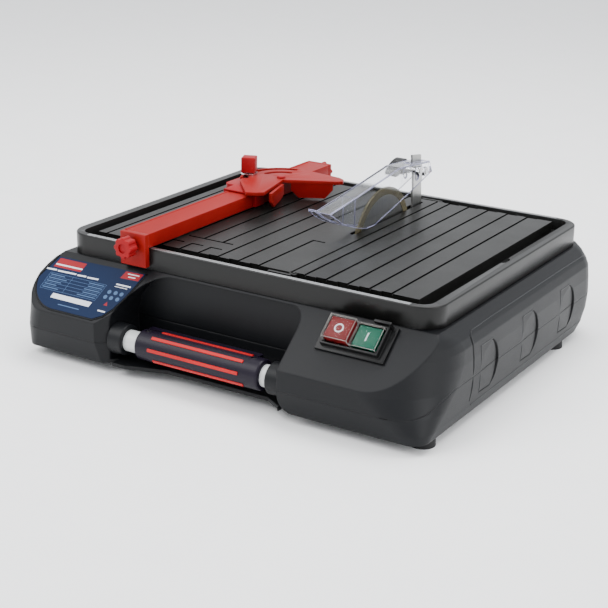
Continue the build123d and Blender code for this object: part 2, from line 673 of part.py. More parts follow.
with BuildPart() as motor_case:
    rod_x((MOTOR_X[0], MOTOR_X[1]), (MOTOR_Y, MOTOR_Z), MOTOR_R)
    rod_x((MOTOR_X[0] - 1, MOTOR_X[1] - 4), (MOTOR_Y, MOTOR_Z), MOTOR_R - 2, Mode.SUBTRACT)
    rod_x((MOTOR_X[1] - 14, MOTOR_X[1] - 4), (MOTOR_Y, MOTOR_Z), 16.0)
    rod_x((MOTOR_X[1] - 14, MOTOR_X[1] + 1), (MOTOR_Y, MOTOR_Z), 13.0, Mode.SUBTRACT)
    for angle in range(30, 390, 60):
        y = MOTOR_Y + (MOTOR_R - 1) * cos(radians(angle))
        z = MOTOR_Z + (MOTOR_R - 1) * sin(radians(angle))
        rod_x((MOTOR_X[0] + 8, MOTOR_X[0] + 14), (y, z), 4.0, Mode.SUBTRACT)
save(motor_case, "motor_case")

with BuildPart() as motor_end_cap:
    rod_x((MOTOR_X[0] - 4, MOTOR_X[0]), (MOTOR_Y, MOTOR_Z), MOTOR_R)
    rod_x((MOTOR_X[0], MOTOR_X[0] + 9), (MOTOR_Y, MOTOR_Z), 16.0)
    rod_x((MOTOR_X[0] - 0.5, MOTOR_X[0] + 10), (MOTOR_Y, MOTOR_Z), 13.0, Mode.SUBTRACT)
    rod_x((MOTOR_X[0] - 5, MOTOR_X[0] + 1), (MOTOR_Y, MOTOR_Z), SHAFT_R + 1.5, Mode.SUBTRACT)
save(motor_end_cap, "motor_end_cap")

with BuildPart() as motor_stator:
    rod_x((-132, -72), (MOTOR_Y, MOTOR_Z), MOTOR_R - 2)
    rod_x((-133, -71), (MOTOR_Y, MOTOR_Z), 19.0, Mode.SUBTRACT)
save(motor_stator, "motor_stator")

with BuildPart() as motor_rotor:
    rod_x((-130, -74), (MOTOR_Y, MOTOR_Z), 18.6)
    rod_x((-131, -73), (MOTOR_Y, MOTOR_Z), SHAFT_R, Mode.SUBTRACT)
save(motor_rotor, "motor_rotor")

with BuildPart() as motor_shaft:
    rod_x((-168, BELT_X[1] + 2), (MOTOR_Y, MOTOR_Z), SHAFT_R)
save(motor_shaft, "motor_shaft")

with BuildPart() as cooling_fan:
    rod_x((-166, -157), (MOTOR_Y, MOTOR_Z), 9.0)
    for angle in range(0, 360, 45):
        with Locations(Location((-161.5, MOTOR_Y, MOTOR_Z), (angle, 0, 0))):
            with Locations((0, 0, 18)):
                Box(9, 1.8, 20)
    rod_x((-170, -150), (MOTOR_Y, MOTOR_Z), SHAFT_R, Mode.SUBTRACT)
save(cooling_fan, "cooling_fan")

with BuildPart() as run_capacitor:
    rod_x((-150, -92), (62, 33), 15.0)
    block((-152, -90), (52, 72), (FLOOR_Z + WALL, 20))
save(run_capacitor, "run_capacitor")

# ---- blade and its clamping parts ----
with BuildPart() as blade_core:
    rod_x((BLADE_X - 0.7, BLADE_X + 0.7), (BLADE_Y, BLADE_Z), BLADE_R - RIM_WIDTH)
    rod_x((BLADE_X - 2, BLADE_X + 2), (BLADE_Y, BLADE_Z), 10.0, Mode.SUBTRACT)
save(blade_core, "blade_core")

with BuildPart() as blade_rim:
    rod_x((BLADE_X - 1.1, BLADE_X + 1.1), (BLADE_Y, BLADE_Z), BLADE_R)
    rod_x((BLADE_X - 2, BLADE_X + 2), (BLADE_Y, BLADE_Z), BLADE_R - RIM_WIDTH, Mode.SUBTRACT)
save(blade_rim, "blade_rim")

with BuildPart() as blade_flanges:
    rod_x((BLADE_X + 0.7, BLADE_X + 4), (BLADE_Y, BLADE_Z), 18.0)
    chamfer(blade_flanges.edges().filter_by(GeomType.CIRCLE).sort_by(Axis.X)[-1], 1.2)
    rod_x((BLADE_X - 4.4, BLADE_X - 0.7), (BLADE_Y, BLADE_Z), 18.0)
    rod_x((BLADE_X - 8, BLADE_X - 4.4), (BLADE_Y, BLADE_Z), 11.0)
    rod_x((BLADE_X - 0.7, BLADE_X + 0.6), (BLADE_Y, BLADE_Z), 10.0)
    rod_x((BLADE_X - 9, BLADE_X + 5), (BLADE_Y, BLADE_Z), SPINDLE_R, Mode.SUBTRACT)
save(blade_flanges, "blade_flanges")

with BuildPart() as blade_nut:
    with BuildSketch(Plane.YZ.offset(BLADE_X + 4)) as hexagon:
        with Locations((BLADE_Y, BLADE_Z)):
            RegularPolygon(10.0, 6)
            Circle(SPINDLE_R, mode=Mode.SUBTRACT)
    extrude(amount=6.5)
save(blade_nut, "blade_nut")

# ---- riving knife and blade guard ----
KNIFE_X = (BLADE_X - 1.0, BLADE_X + 1.0)
GUARD_X = (BLADE_X - 8.0, BLADE_X + 8.0)
GUARD_WALL = 1.8
PIVOT = (TABLE_Y + 119.0, 146.0)
LOCK = (TABLE_Y + 107.0, 149.0)
BOLT_R = 2.5
GUARD_SWING = 35.0
LOCK_REACH = hypot(PIVOT[0] - LOCK[0], PIVOT[1] - LOCK[1])
LOCK_ANGLE = degrees(atan2(LOCK[1] - PIVOT[1], LOCK[0] - PIVOT[0]))
with BuildPart() as riving_knife:
    prism_x(
        [
            (TABLE_Y + 111.5, 91.5),
            (TABLE_Y + 112.7, 112),
            (TABLE_Y + 108.3, 163.5),
            (TABLE_Y + 127.0, 160.5),
            (TABLE_Y + 131.8, 110),
            (TABLE_Y + 131.8, LEDGE_TOP + 0.8),
            (TABLE_Y + 121.5, LEDGE_TOP + 0.8),
            (TABLE_Y + 121.5, 91.5),
        ],
        KNIFE_X,
    )
    for centre in (PIVOT, LOCK):
        rod_x((KNIFE_X[0] - 1, KNIFE_X[1] + 1), centre, BOLT_R, Mode.SUBTRACT)
    rod_x((KNIFE_X[0] - 1, KNIFE_X[1] + 1), KNIFE_SCREW, 2.0, Mode.SUBTRACT)
save(riving_knife, "riving_knife")

GUARD_TOP = [(-62.0, 143.0), (-14.4, 148.4), (70.5, 159.3), (96.3, 157.3), (132.4, 153.8)]
GUARD_REAR = (139.0, 141.6)
GUARD_LOW = [
    GUARD_REAR,
    (94.6, 130.0),
    (22.3, 112.6),
    (6.0, 113.2),
    (-7.4, 116.6),
    (-24.0, 122.2),
    (-39.4, 129.0),
]
WEB_Y = TABLE_Y - 14.4
LIP_W = 7.0
LIP_LINE = [(-62.0, 143.0), (-51.0, 135.2), (-39.4, 129.0), (-24.0, 122.2), (-7.4, 116.6), (6.0, 113.2)]


def guard_outline(drop):
    """Points of the guard's side view, with its top lowered by drop."""
    top = [(TABLE_Y + y, z - drop) for y, z in GUARD_TOP]
    low = [(TABLE_Y + y, z) for y, z in GUARD_LOW]
    return top + low


def round_pivot(turn, reach):
    """The point at a distance from the guard's pivot, turned on from where the lock bolt stands."""
    heading = radians(LOCK_ANGLE + turn)
    return (PIVOT[0] + reach * cos(heading), PIVOT[1] + reach * sin(heading))


with BuildPart() as guard_shell:
    prism_x(guard_outline(0), GUARD_X)
    for first, last in ((-80.0, WEB_Y - GUARD_WALL), (WEB_Y, TABLE_Y + 137.0)):
        with BuildPart(mode=Mode.PRIVATE) as hollow:
            prism_x(
                [(y, z - GUARD_WALL) for y, z in guard_outline(0)[:5]]
                + [(TABLE_Y + 139.0, 100), (TABLE_Y - 70, 100)],
                (GUARD_X[0] + GUARD_WALL, GUARD_X[1] - GUARD_WALL),
            )
            block((0, 60), (first, last), (90, 170), Mode.INTERSECT)
        add(hollow.part, mode=Mode.SUBTRACT)
    # lip that flares out along the front lower edge of the left wall
    lip = [(TABLE_Y + y, z) for y, z in LIP_LINE]
    prism_x(lip + [(y + 0.6, z + 1.4) for y, z in reversed(lip)], (GUARD_X[0] - LIP_W, GUARD_X[0] + 0.5))
    far_x, far_y = GUARD_X[0] - LIP_W - 1, TABLE_Y + 12
    corner_points = [(far_x, TABLE_Y - 46), (GUARD_X[0], far_y), (far_x, far_y)]
    prism_z(corner_points, (100, 160), Mode.SUBTRACT)
    # slit in the roof that lets the tip of the riving knife through
    block((KNIFE_X[0] - 1.8, KNIFE_X[1] + 1.8), (TABLE_Y + 96, TABLE_Y + 129), (150, 170), Mode.SUBTRACT)
    rod_x((GUARD_X[0] - 1, GUARD_X[1] + 1), PIVOT, BOLT_R + RUN, Mode.SUBTRACT)
    slot_half = BOLT_R + 0.4
    with BuildSketch(Plane.YZ.offset(GUARD_X[0] - 1)) as arc_slots:
        with Locations(PIVOT):
            Circle(LOCK_REACH + slot_half)
            Circle(LOCK_REACH - slot_half, mode=Mode.SUBTRACT)
        with BuildLine():
            edge = [round_pivot(turn, 40) for turn in (0, GUARD_SWING / 2, GUARD_SWING)]
            Polyline(PIVOT, *edge, close=True)
        make_face(mode=Mode.INTERSECT)
        with Locations(round_pivot(0, LOCK_REACH), round_pivot(GUARD_SWING, LOCK_REACH)):
            Circle(slot_half)
    extrude(arc_slots.sketch, amount=GUARD_X[1] - GUARD_X[0] + 2, mode=Mode.SUBTRACT)
save(guard_shell, "guard_shell")

with BuildPart() as guard_bolts:
    rod_x((GUARD_X[0] - 3.8, GUARD_X[1] + 4), PIVOT, BOLT_R)
    rod_x((GUARD_X[0] - 8, GUARD_X[1] + 4), LOCK, BOLT_R)
    with BuildSketch(Plane.YZ.offset(GUARD_X[0] - 3.8)) as bolt_head:
        with Locations(PIVOT):
            RegularPolygon(4.6, 6)
    extrude(bolt_head.sketch, amount=3.5)
save(guard_bolts, "guard_bolts")

with BuildPart() as guard_nuts:
    with BuildSketch(Plane.YZ.offset(GUARD_X[1] + 0.3)) as hexagons:
        with Locations(PIVOT, LOCK):
            RegularPolygon(4.8, 6)
            Circle(BOLT_R, mode=Mode.SUBTRACT)
    extrude(amount=3.2)
save(guard_nuts, "guard_nuts")

with BuildPart() as guard_lock_knob:
    rod_x((GUARD_X[0] - 9, GUARD_X[0] - GAP), LOCK, 6.5)
    with BuildSketch(Plane.YZ.offset(GUARD_X[0] - 14)) as wings:
        with Locations(Location((LOCK[0], LOCK[1]), 20)):
            Ellipse(15.5, 5.0)
    extrude(wings.sketch, amount=10)
    rod_x((GUARD_X[0] - 8, GUARD_X[0]), LOCK, BOLT_R + RUN, Mode.SUBTRACT)
save(guard_lock_knob, "guard_lock_knob")

# ---- water tray ----
with BuildPart() as water_tray:
    slab((62, 89.5), (-16, 154), (-104, 134), 4)
    slab((64, 95), (-14, 152), (-102, 132), 2, Mode.SUBTRACT)
    slab((20, 66), (12, 52), (0, 133), 4)
    slab((22, 70), (14, 50), (2, 131), 2, Mode.SUBTRACT)
    for y in (20, 112):
        block((28, 36), (y - 6, y + 6), (FLOOR_Z + WALL, 20))
    rod_x((-20, -10), (BLADE_Y, BLADE_Z), 19.0, Mode.SUBTRACT)
    block((-20, -10), (BLADE_Y - 19, BLADE_Y + 19), (BLADE_Z, 95), Mode.SUBTRACT)
    rod_z((60, 70), (134, -84), 6.0, Mode.SUBTRACT)
save(water_tray, "water_tray")

with BuildPart() as drain_plug:
    rod_z((58, 64), (134, -84), 6.0)
    rod_z((64, 66), (134, -84), 8.0)
save(drain_plug, "drain_plug")

# ---- fence ----
FENCE_MID = (FENCE_X[0] + FENCE_X[1]) / 2
CLAMP_T = 5.7
HUB_LENGTH = {-1: 3.5, 1: 2.0}  # the rear knob is the shorter one
KNOB_DEPTH = {-1: 10.0, 1: 7.0}
KNOB_R = 10.0
FENCE_SCREW_R = 3.0
FENCE_KNOB_Z = 113.0
HUB_START = CLAMP_T + 2 + GAP  # from the frame's face to the inner end of a knob
RIDGE_X = (FENCE_X[0] + 1, FENCE_X[0] + 3)
with BuildPart() as fence_beam:
    block(FENCE_X, (FRAME_FRONT - GAP, FRAME_REAR + GAP), FENCE_Z)
    hollow_x = (FENCE_X[0] + 2, FENCE_X[1] - 2)
    block(hollow_x, (FRAME_FRONT + 12, FRAME_REAR - 12), (105, FENCE_Z[1] - 2), Mode.SUBTRACT)
    block(RIDGE_X, (FRAME_FRONT - GAP, FRAME_REAR + GAP), (FENCE_Z[1] - 0.5, FENCE_Z[1] + 0.7))
save(fence_beam, "fence_beam")


def from_frame(side, near, far):
    """The stretch along Y between two distances from the frame's front (-1) or rear (1) face."""
    face = FRAME_FRONT if side < 0 else FRAME_REAR
    ends = (face + side * near, face + side * far)
    return (min(ends), max(ends))


with BuildPart() as fence_clamps:
    for side in (-1, 1):
        block(FENCE_X, from_frame(side, GAP, CLAMP_T + GAP), (93, FENCE_Z[1]))
        bore = from_frame(side, 0, CLAMP_T + 1)
        rod_y(bore, (FENCE_MID, FENCE_KNOB_Z), FENCE_SCREW_R + RUN, Mode.SUBTRACT)
save(fence_clamps, "fence_clamps")


def star_knob(side):
    """An eight-lobed knob with a hub behind it and a recessed cap."""
    knob_start = HUB_START + HUB_LENGTH[side]
    knob_end = knob_start + KNOB_DEPTH[side]
    low, high = from_frame(side, knob_start, knob_end)
    centre = (FENCE_MID, FENCE_KNOB_Z)
    with BuildPart() as knob:
        with BuildSketch(Plane.XZ.offset(-low)) as star:
            with Locations(centre):
                Circle(KNOB_R - 1.4)
                with PolarLocations(KNOB_R - 2.6, 8):
                    Circle(2.6)
        extrude(star.sketch, amount=low - high)
        outer_face = knob.faces().sort_by(Axis.Y)[0 if side < 0 else -1]
        fillet(outer_face.edges(), 1.2)
        rod_y(from_frame(side, HUB_START, knob_start + 1), centre, 6.5)
        rod_y(from_frame(side, HUB_START - 1, knob_start + 4), centre, FENCE_SCREW_R, Mode.SUBTRACT)
        rod_y(from_frame(side, knob_end - 1.6, knob_end + 1), centre, 4.4, Mode.SUBTRACT)
    return knob.part


for side, place in ((-1, "front"), (1, "rear")):
    with BuildPart() as fence_screw:
        screw_end = HUB_START + HUB_LENGTH[side] + 4
        rod_y(from_frame(side, GAP + 0.5, screw_end), (FENCE_MID, FENCE_KNOB_Z), FENCE_SCREW_R)
    save(fence_screw, f"fence_{place}_screw")
    with BuildPart() as fence_knob:
        add(star_knob(side))
    save(fence_knob, f"fence_{place}_knob")

# ---- mitre gauge ----
GAUGE_Z = (126.3, 129.7)
FACE_LOW = 111.4
GAUGE_R = 42.0
ARC_SLOT_R = 36.5
KNOB_AT = (-133.6, TABLE_Y + 61.4)
gauge_x, gauge_y = GAUGE_PIVOT
SLIDE_X = (-140.5, -92.8)
SLIDE_Y = (22.0, 98.0)
SHOULDER_Y = (40.0, 90.0)
SLIDE_TOP = GAUGE_Z[0] - 0.1
BEAM_SIDES = (FENCE_X[0] - GAP, FENCE_X[1] + GAP)
with BuildPart() as mitre_slide:
    block((BEAM_SIDES[0] - 3, SLIDE_X[1]), SLIDE_Y, (FENCE_Z[1] + GAP + 0.3, SLIDE_TOP))
    slab((FACE_LOW, SLIDE_TOP), (SLIDE_X[0], BEAM_SIDES[0] + 8), SHOULDER_Y, 6)
    block((BEAM_SIDES[0] - 3, BEAM_SIDES[0]), SLIDE_Y, (FACE_LOW + 4, SLIDE_TOP))
    for y in ((26.0, 42.0), (68.0, 76.0)):
        block((BEAM_SIDES[1], SLIDE_X[1]), y, (FACE_LOW, SLIDE_TOP))
    beam_space = (FENCE_Z[0] - 1, FENCE_Z[1] + GAP)
    block(BEAM_SIDES, (SLIDE_Y[0] - 1, SLIDE_Y[1] + 1), beam_space, Mode.SUBTRACT)
    ridge_groove = (RIDGE_X[0] - GAP - 0.1, RIDGE_X[1] + GAP + 0.1)
    block(ridge_groove, (SLIDE_Y[0] - 1, SLIDE_Y[1] + 1), (120, FENCE_Z[1] + 1.1), Mode.SUBTRACT)
    rod_z((FACE_LOW - 1, 130), KNOB_AT, 3.0, Mode.SUBTRACT)
    rod_z((118, 130), GAUGE_PIVOT, 2.5, Mode.SUBTRACT)
save(mitre_slide, "mitre_slide")


def arm(points, radius):
    """Add a flat arm of the protractor, drawn about its pivot, with rounded corners."""
    with BuildSketch(Plane.XY.offset(GAUGE_Z[0])) as face:
        with BuildLine():
            Polyline(*[(gauge_x + x, gauge_y + y) for x, y in points], close=True)
        make_face()
        fillet(face.vertices(), radius)
    extrude(face.sketch, amount=GAUGE_Z[1] - GAUGE_Z[0])


def guide_face(heading, sideways, outline_points):
    """Hang a guide face under an arm: its outline is (distance from pivot, height) points."""
    along = Vector(cos(radians(heading)), sin(radians(heading)), 0)
    left = Vector(-along.Y, along.X, 0)
    origin = Vector(gauge_x, gauge_y, 0) + left * sideways
    with BuildSketch(Plane(origin=origin, x_dir=along, z_dir=left * -1)) as face:
        with BuildLine():
            Polyline(*outline_points, close=True)
        make_face()
    extrude(face.sketch, amount=-GUIDE_T)


GUIDE_T = 3.0
GUIDE_TOP = GAUGE_Z[0] + 0.7
RIGHT_GUIDE = [(11, 119), (19, FACE_LOW), (46, FACE_LOW), (54, 120.5), (54, GUIDE_TOP), (11, GUIDE_TOP)]
LEFT_GUIDE = [(14, 116), (24, 113), (46, FACE_LOW), (54, 118), (54, GUIDE_TOP), (14, GUIDE_TOP)]
RIGHT_ARM = [(0, 0), (6, -6), (56.2, 19.4), (59.5, 24), (57, 30), (49, 34.8), (14.8, 39.8), (-4, 30)]
LEFT_ARM = [(0, 0), (6, -6), (17.2, -57.6), (12, -63), (2.5, -68), (-30, -31), (-34, -10)]
with BuildPart() as mitre_protractor:
    rod_z(GAUGE_Z, GAUGE_PIVOT, GAUGE_R)
    with BuildSketch(Plane.XY.offset(GAUGE_Z[0])) as keep_sector:
        with BuildLine():
            Polyline(
                (gauge_x, gauge_y),
                (gauge_x + 14.8 * 4, gauge_y + 39.8 * 4),
                (gauge_x - 200, gauge_y + 200),
                (gauge_x - 36.2 * 4, gauge_y - 21.9 * 4),
                close=True,
            )
        make_face()
    extrude(keep_sector.sketch, amount=GAUGE_Z[1] - GAUGE_Z[0], mode=Mode.INTERSECT)
    arm(RIGHT_ARM, 1.0)
    arm(LEFT_ARM, 1.0)
    guide_face(26.8, -7.6, RIGHT_GUIDE)
    guide_face(-74.5, 4.4, LEFT_GUIDE)
    for radius, width, start, sweep_angle in ((ARC_SLOT_R, 6.6, 100, 113), (22.5, 6.0, 100, 64)):
        with BuildSketch(Plane.XY.offset(GAUGE_Z[0] - 1)) as arc_slot:
            with Locations(GAUGE_PIVOT):
                SlotArc(CenterArc((0, 0), radius, start, sweep_angle), width)
        extrude(arc_slot.sketch, amount=6, mode=Mode.SUBTRACT)
    rod_z((GAUGE_Z[0] - 20, GAUGE_Z[1] + 1), GAUGE_PIVOT, 2.5 + RUN, Mode.SUBTRACT)
save(mitre_protractor, "mitre_protractor")

with BuildPart() as mitre_rivet:
    rod_z((FENCE_Z[1] + 0.8, GAUGE_Z[1] + GAP), GAUGE_PIVOT, 2.5)
    rod_z((GAUGE_Z[1] + GAP, GAUGE_Z[1] + 2.2), GAUGE_PIVOT, 4.4)
    fillet(mitre_rivet.edges().filter_by(GeomType.CIRCLE).sort_by(Axis.Z)[-1], 1.6)
save(mitre_rivet, "mitre_rivet")

with BuildPart() as mitre_bolt:
    rod_z((FACE_LOW + 0.5, 142), KNOB_AT, 3.0)
    rod_z((GAUGE_Z[1] + GAP, GAUGE_Z[1] + 1.8), KNOB_AT, 8.6)
save(mitre_bolt, "mitre_bolt")

with BuildPart() as mitre_lock_knob:
    with BuildSketch(Plane.XY.offset(132.0)) as square:
        with Locations(Location((KNOB_AT[0], KNOB_AT[1]), 22)):
            Rectangle(14.5, 13.5)
    extrude(square.sketch, amount=16)
    chamfer(mitre_lock_knob.faces().sort_by(Axis.Z)[-1].edges(), 0.8)
    rod_z((131, 142.5), KNOB_AT, 3.0 + RUN, Mode.SUBTRACT)
save(mitre_lock_knob, "mitre_lock_knob")

# ---- switch on the sloping panel: local x across, local y up the slope, local z out of it ----
OFF_X = 118.8
ON_X = 143.7
BUTTON = (22.0, 20.0)
COVER_WALL = 0.8
COVER_AIR = 0.4


def slope_box(x, s, h, mode=Mode.ADD):
    """A box on the sloping panel: x across, s up the slope, h out from the surface."""
    with BuildSketch(slope_plane.offset(h[0])) as face:
        with Locations(((x[0] + x[1]) / 2, (s[0] + s[1]) / 2)):
            Rectangle(x[1] - x[0], s[1] - s[0])
    extrude(face.sketch, amount=h[1] - h[0], mode=mode)


with BuildPart() as switch_bezel:
    slope_box((98.5, 164), (27.5, 62.5), (0, 2.6))
    slope_box((104.1, 158.5), (31, 59), (2.6, 8.0))
    slope_box((144.5, 160.5), (59, 61.5), (2.6, 12.0))
    slope_box((106.1, 156.5), (33, 57), (-1, 15), Mode.SUBTRACT)
save(switch_bezel, "switch_bezel")

with BuildPart() as switch_body:
    slope_box((105.7, 157.3), (32.7, 57.3), (-31, 0))
    slope_box((106.2, 156.8), (33.2, 56.8), (-9.2, 1), Mode.SUBTRACT)
save(switch_body, "switch_body")


def button(x, top):
    """A square push button with a shallow dished face."""
    half_w, half_d = BUTTON[0] / 2, BUTTON[1] / 2
    with BuildPart() as key:
        slope_box((x - half_w, x + half_w), (SWITCH_S - half_d, SWITCH_S + half_d), (-2.5, top))
        upper = key.faces().sort_by(Axis((0, 0, 0), slope_plane.z_dir))[-1]
        chamfer(upper.edges(), 0.8)
        # the foot of the button holds the splash cap
        foot_w, foot_d = half_w + COVER_AIR, half_d + COVER_AIR
        slope_box((x - foot_w, x + foot_w), (SWITCH_S - foot_d, SWITCH_S + foot_d), (-2.5, 2.0))
    return key.part


def button_cover(x, top):
    """A clear splash cap that fits over a button and moves with it."""
    half_w, half_d = BUTTON[0] / 2, BUTTON[1] / 2
    with BuildPart() as cap:
        in_w, in_d = half_w + COVER_AIR, half_d + COVER_AIR
        out_w, out_d = in_w + COVER_WALL, in_d + COVER_WALL
        slope_box((x - out_w, x + out_w), (SWITCH_S - out_d, SWITCH_S + out_d), (1, top + 1.6))
        inside_h = (0, top + COVER_AIR)
        slope_box((x - in_w, x + in_w), (SWITCH_S - in_d, SWITCH_S + in_d), inside_h, Mode.SUBTRACT)
    return cap.part


for name, x, top in (("off_button", OFF_X, 13.5), ("on_button", ON_X, 9.0)):
    with BuildPart() as switch_piece:
        add(button(x, top))
    save(switch_piece, name)
    with BuildPart() as cap_piece:
        add(button_cover(x, top))
    save(cap_piece, f"{name}_cover")

# ---- rating label on the left slope ----
with BuildPart() as rating_label:
    with BuildSketch(slope_plane) as plate:
        with BuildLine():
            inner_edge = [(-98.0, 60.0), (-100.5, 50.5), (-105.5, 33.5), (-111.5, 19.0), (-118.5, 9.5)]
            Polyline(*inner_edge, (-127.5, 4.2))
            Line((-127.5, 4.2), (-176.0, 4.2))
            ThreePointArc((-176.0, 4.2), (-200.6, 16.5), (-208.6, 33.0))
            Line((-208.6, 33.0), (-199.0, 58.5))
            Line((-199.0, 58.5), (-98.0, 60.0))
        make_face()
    extrude(plate.sketch, amount=0.5)
save(rating_label, "rating_label")
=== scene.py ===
import bpy
import bmesh
import json
import math
import random
from mathutils import Matrix, Vector
from mathutils.bvhtree import BVHTree


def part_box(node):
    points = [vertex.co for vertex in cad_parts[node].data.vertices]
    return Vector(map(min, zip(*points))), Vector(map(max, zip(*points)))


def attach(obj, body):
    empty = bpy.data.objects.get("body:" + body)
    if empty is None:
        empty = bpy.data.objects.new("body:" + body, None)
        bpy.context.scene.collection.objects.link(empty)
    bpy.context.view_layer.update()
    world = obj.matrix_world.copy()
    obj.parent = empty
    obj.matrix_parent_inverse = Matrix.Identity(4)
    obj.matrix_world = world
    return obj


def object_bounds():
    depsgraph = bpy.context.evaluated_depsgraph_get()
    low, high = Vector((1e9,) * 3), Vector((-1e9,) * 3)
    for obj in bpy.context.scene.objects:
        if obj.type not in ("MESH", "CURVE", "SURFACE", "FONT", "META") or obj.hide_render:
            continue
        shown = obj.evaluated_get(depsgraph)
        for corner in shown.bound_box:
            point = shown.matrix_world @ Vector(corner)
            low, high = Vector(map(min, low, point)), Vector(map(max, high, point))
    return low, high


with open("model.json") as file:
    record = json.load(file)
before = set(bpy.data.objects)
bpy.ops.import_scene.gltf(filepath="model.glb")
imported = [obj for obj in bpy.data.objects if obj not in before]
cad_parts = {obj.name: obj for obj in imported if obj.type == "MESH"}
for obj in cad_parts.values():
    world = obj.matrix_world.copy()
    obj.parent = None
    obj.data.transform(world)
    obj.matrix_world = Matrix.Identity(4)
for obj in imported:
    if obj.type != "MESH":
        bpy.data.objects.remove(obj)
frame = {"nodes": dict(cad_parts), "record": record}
start_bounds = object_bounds()
nodes = frame["nodes"]
random.seed(7)

# ---- materials ----
BEVEL_SAMPLES = 4
WEAR_RADIUS = 0.0006  # how far in from an edge the rubbing reaches
WEAR_STARTS, WEAR_FULL = 0.995, 0.86  # cosines between the rounded normal and the true one
BUMP_DEPTH = 0.0004


def add_node(tree, kind, inputs=None):
    """A new shader node with some of its inputs set."""
    made = tree.nodes.new("ShaderNode" + kind)
    for name, value in (inputs or {}).items():
        made.inputs[name].default_value = value
    return made


def rubbed_edges(tree, colour, wear, wear_colour):
    """A colour with another one mixed in along the edges."""
    rounded = add_node(tree, "Bevel", {"Radius": WEAR_RADIUS})
    rounded.samples = BEVEL_SAMPLES
    facing = add_node(tree, "NewGeometry")
    compare = add_node(tree, "VectorMath")
    compare.operation = "DOT_PRODUCT"
    tree.links.new(rounded.outputs["Normal"], compare.inputs[0])
    tree.links.new(facing.outputs["Normal"], compare.inputs[1])
    limits = {"From Min": WEAR_STARTS, "From Max": WEAR_FULL, "To Min": 0.0, "To Max": wear}
    edge = add_node(tree, "MapRange", limits)
    tree.links.new(compare.outputs["Value"], edge.inputs["Value"])
    mix = add_node(tree, "Mix")
    mix.data_type = "RGBA"
    # an RGBA Mix node takes its factor at 0 and its two colours at 6 and 7
    tree.links.new(edge.outputs["Result"], mix.inputs[0])
    tree.links.new(colour, mix.inputs[6])
    mix.inputs[7].default_value = (*wear_colour, 1.0)
    return mix.outputs[2]


def grainy_normal(tree, mapping, grain, grain_scale, soft):
    """A fine bump, over edges softened by the radius soft where that is more than zero."""
    fine = add_node(tree, "TexNoise", {"Scale": grain_scale, "Detail": 2.0})
    tree.links.new(mapping.outputs["Vector"], fine.inputs["Vector"])
    bump = add_node(tree, "Bump", {"Strength": grain, "Distance": BUMP_DEPTH})
    tree.links.new(fine.outputs["Fac"], bump.inputs["Height"])
    if soft > 0.0:
        radius = add_node(tree, "Bevel", {"Radius": soft})
        radius.samples = BEVEL_SAMPLES
        tree.links.new(radius.outputs["Normal"], bump.inputs["Normal"])
    return bump.outputs["Normal"]


def finish_material(
    name,
    colour,
    rough,
    metal=0.0,
    mottle=0.12,
    mottle_scale=18.0,
    grain=0.05,
    grain_scale=1400.0,
    rough_vary=0.06,
    stretch=(1.0, 1.0, 1.0),
    wear=0.0,
    wear_colour=(0.3, 0.3, 0.3),
    transmission=0.0,
    ior=1.46,
    specular=0.5,
    soft=0.0,
):
    """A procedural finish: mottled colour, uneven roughness, fine grain, rubbed edges."""
    made = bpy.data.materials.new(name)
    made.use_nodes = True
    tree = made.node_tree
    links = tree.links
    shader = tree.nodes["Principled BSDF"]
    place = add_node(tree, "TexCoord")
    mapping = add_node(tree, "Mapping", {"Scale": stretch})
    links.new(place.outputs["Object"], mapping.inputs["Vector"])
    noise = {"Scale": mottle_scale, "Detail": 5.0, "Roughness": 0.62}
    patches = add_node(tree, "TexNoise", noise)
    links.new(mapping.outputs["Vector"], patches.inputs["Vector"])
    ramp = add_node(tree, "ValToRGB")
    dark, bright = ramp.color_ramp.elements
    dark.position, bright.position = 0.3, 0.7
    dark.color = [max(0.0, c * (1.0 - mottle)) for c in colour] + [1.0]
    bright.color = [min(1.0, c * (1.0 + mottle)) for c in colour] + [1.0]
    links.new(patches.outputs["Fac"], ramp.inputs["Fac"])
    surface = ramp.outputs["Color"]
    if wear > 0.0:
        surface = rubbed_edges(tree, surface, wear, wear_colour)
    links.new(surface, shader.inputs["Base Color"])
    limits = {"To Min": max(0.02, rough - rough_vary), "To Max": min(1.0, rough + rough_vary)}
    spread = add_node(tree, "MapRange", limits)
    links.new(patches.outputs["Fac"], spread.inputs["Value"])
    links.new(spread.outputs["Result"], shader.inputs["Roughness"])
    if grain > 0.0:
        normal = grainy_normal(tree, mapping, grain, grain_scale, soft)
        links.new(normal, shader.inputs["Normal"])
    shader.inputs["Metallic"].default_value = metal
    shader.inputs["Transmission Weight"].default_value = transmission
    shader.inputs["IOR"].default_value = ior
    shader.inputs["Specular IOR Level"].default_value = specular
    return made


# plastics and coatings: dark base colours and low gloss, for the bright world light
PLASTIC = finish_material(
    "housing_plastic", (0.0046, 0.005, 0.006), 0.42, grain=0.22, grain_scale=1500,
    specular=0.2, soft=0.0022, wear=0.25, wear_colour=(0.012, 0.0125, 0.014),
)
FRAME = finish_material(
    "frame_coat", (0.0042, 0.0042, 0.004), 0.32, grain=0.12, mottle=0.25,
    specular=0.26, wear=0.35, wear_colour=(0.05, 0.05, 0.05),
)
TABLE = finish_material(
    "table_coat", (0.0052, 0.0052, 0.0047), 0.36, grain=0.14, mottle=0.25, rough_vary=0.1,
    specular=0.19, wear=0.4, wear_colour=(0.03, 0.03, 0.028),
)
HANDLE = finish_material("handle_paint", (0.5, 0.51, 0.51), 0.32, mottle=0.06, grain=0.1)
GRIP = finish_material("grip_rubber", (0.005, 0.0028, 0.009), 0.38, grain=0.25, specular=0.22)
RED_RUBBER = finish_material("red_rubber", (0.4, 0.007, 0.008), 0.42, grain=0.2, specular=0.25)
RUBBER = finish_material("foot_rubber", (0.006, 0.006, 0.0065), 0.6, grain=0.35, specular=0.3)
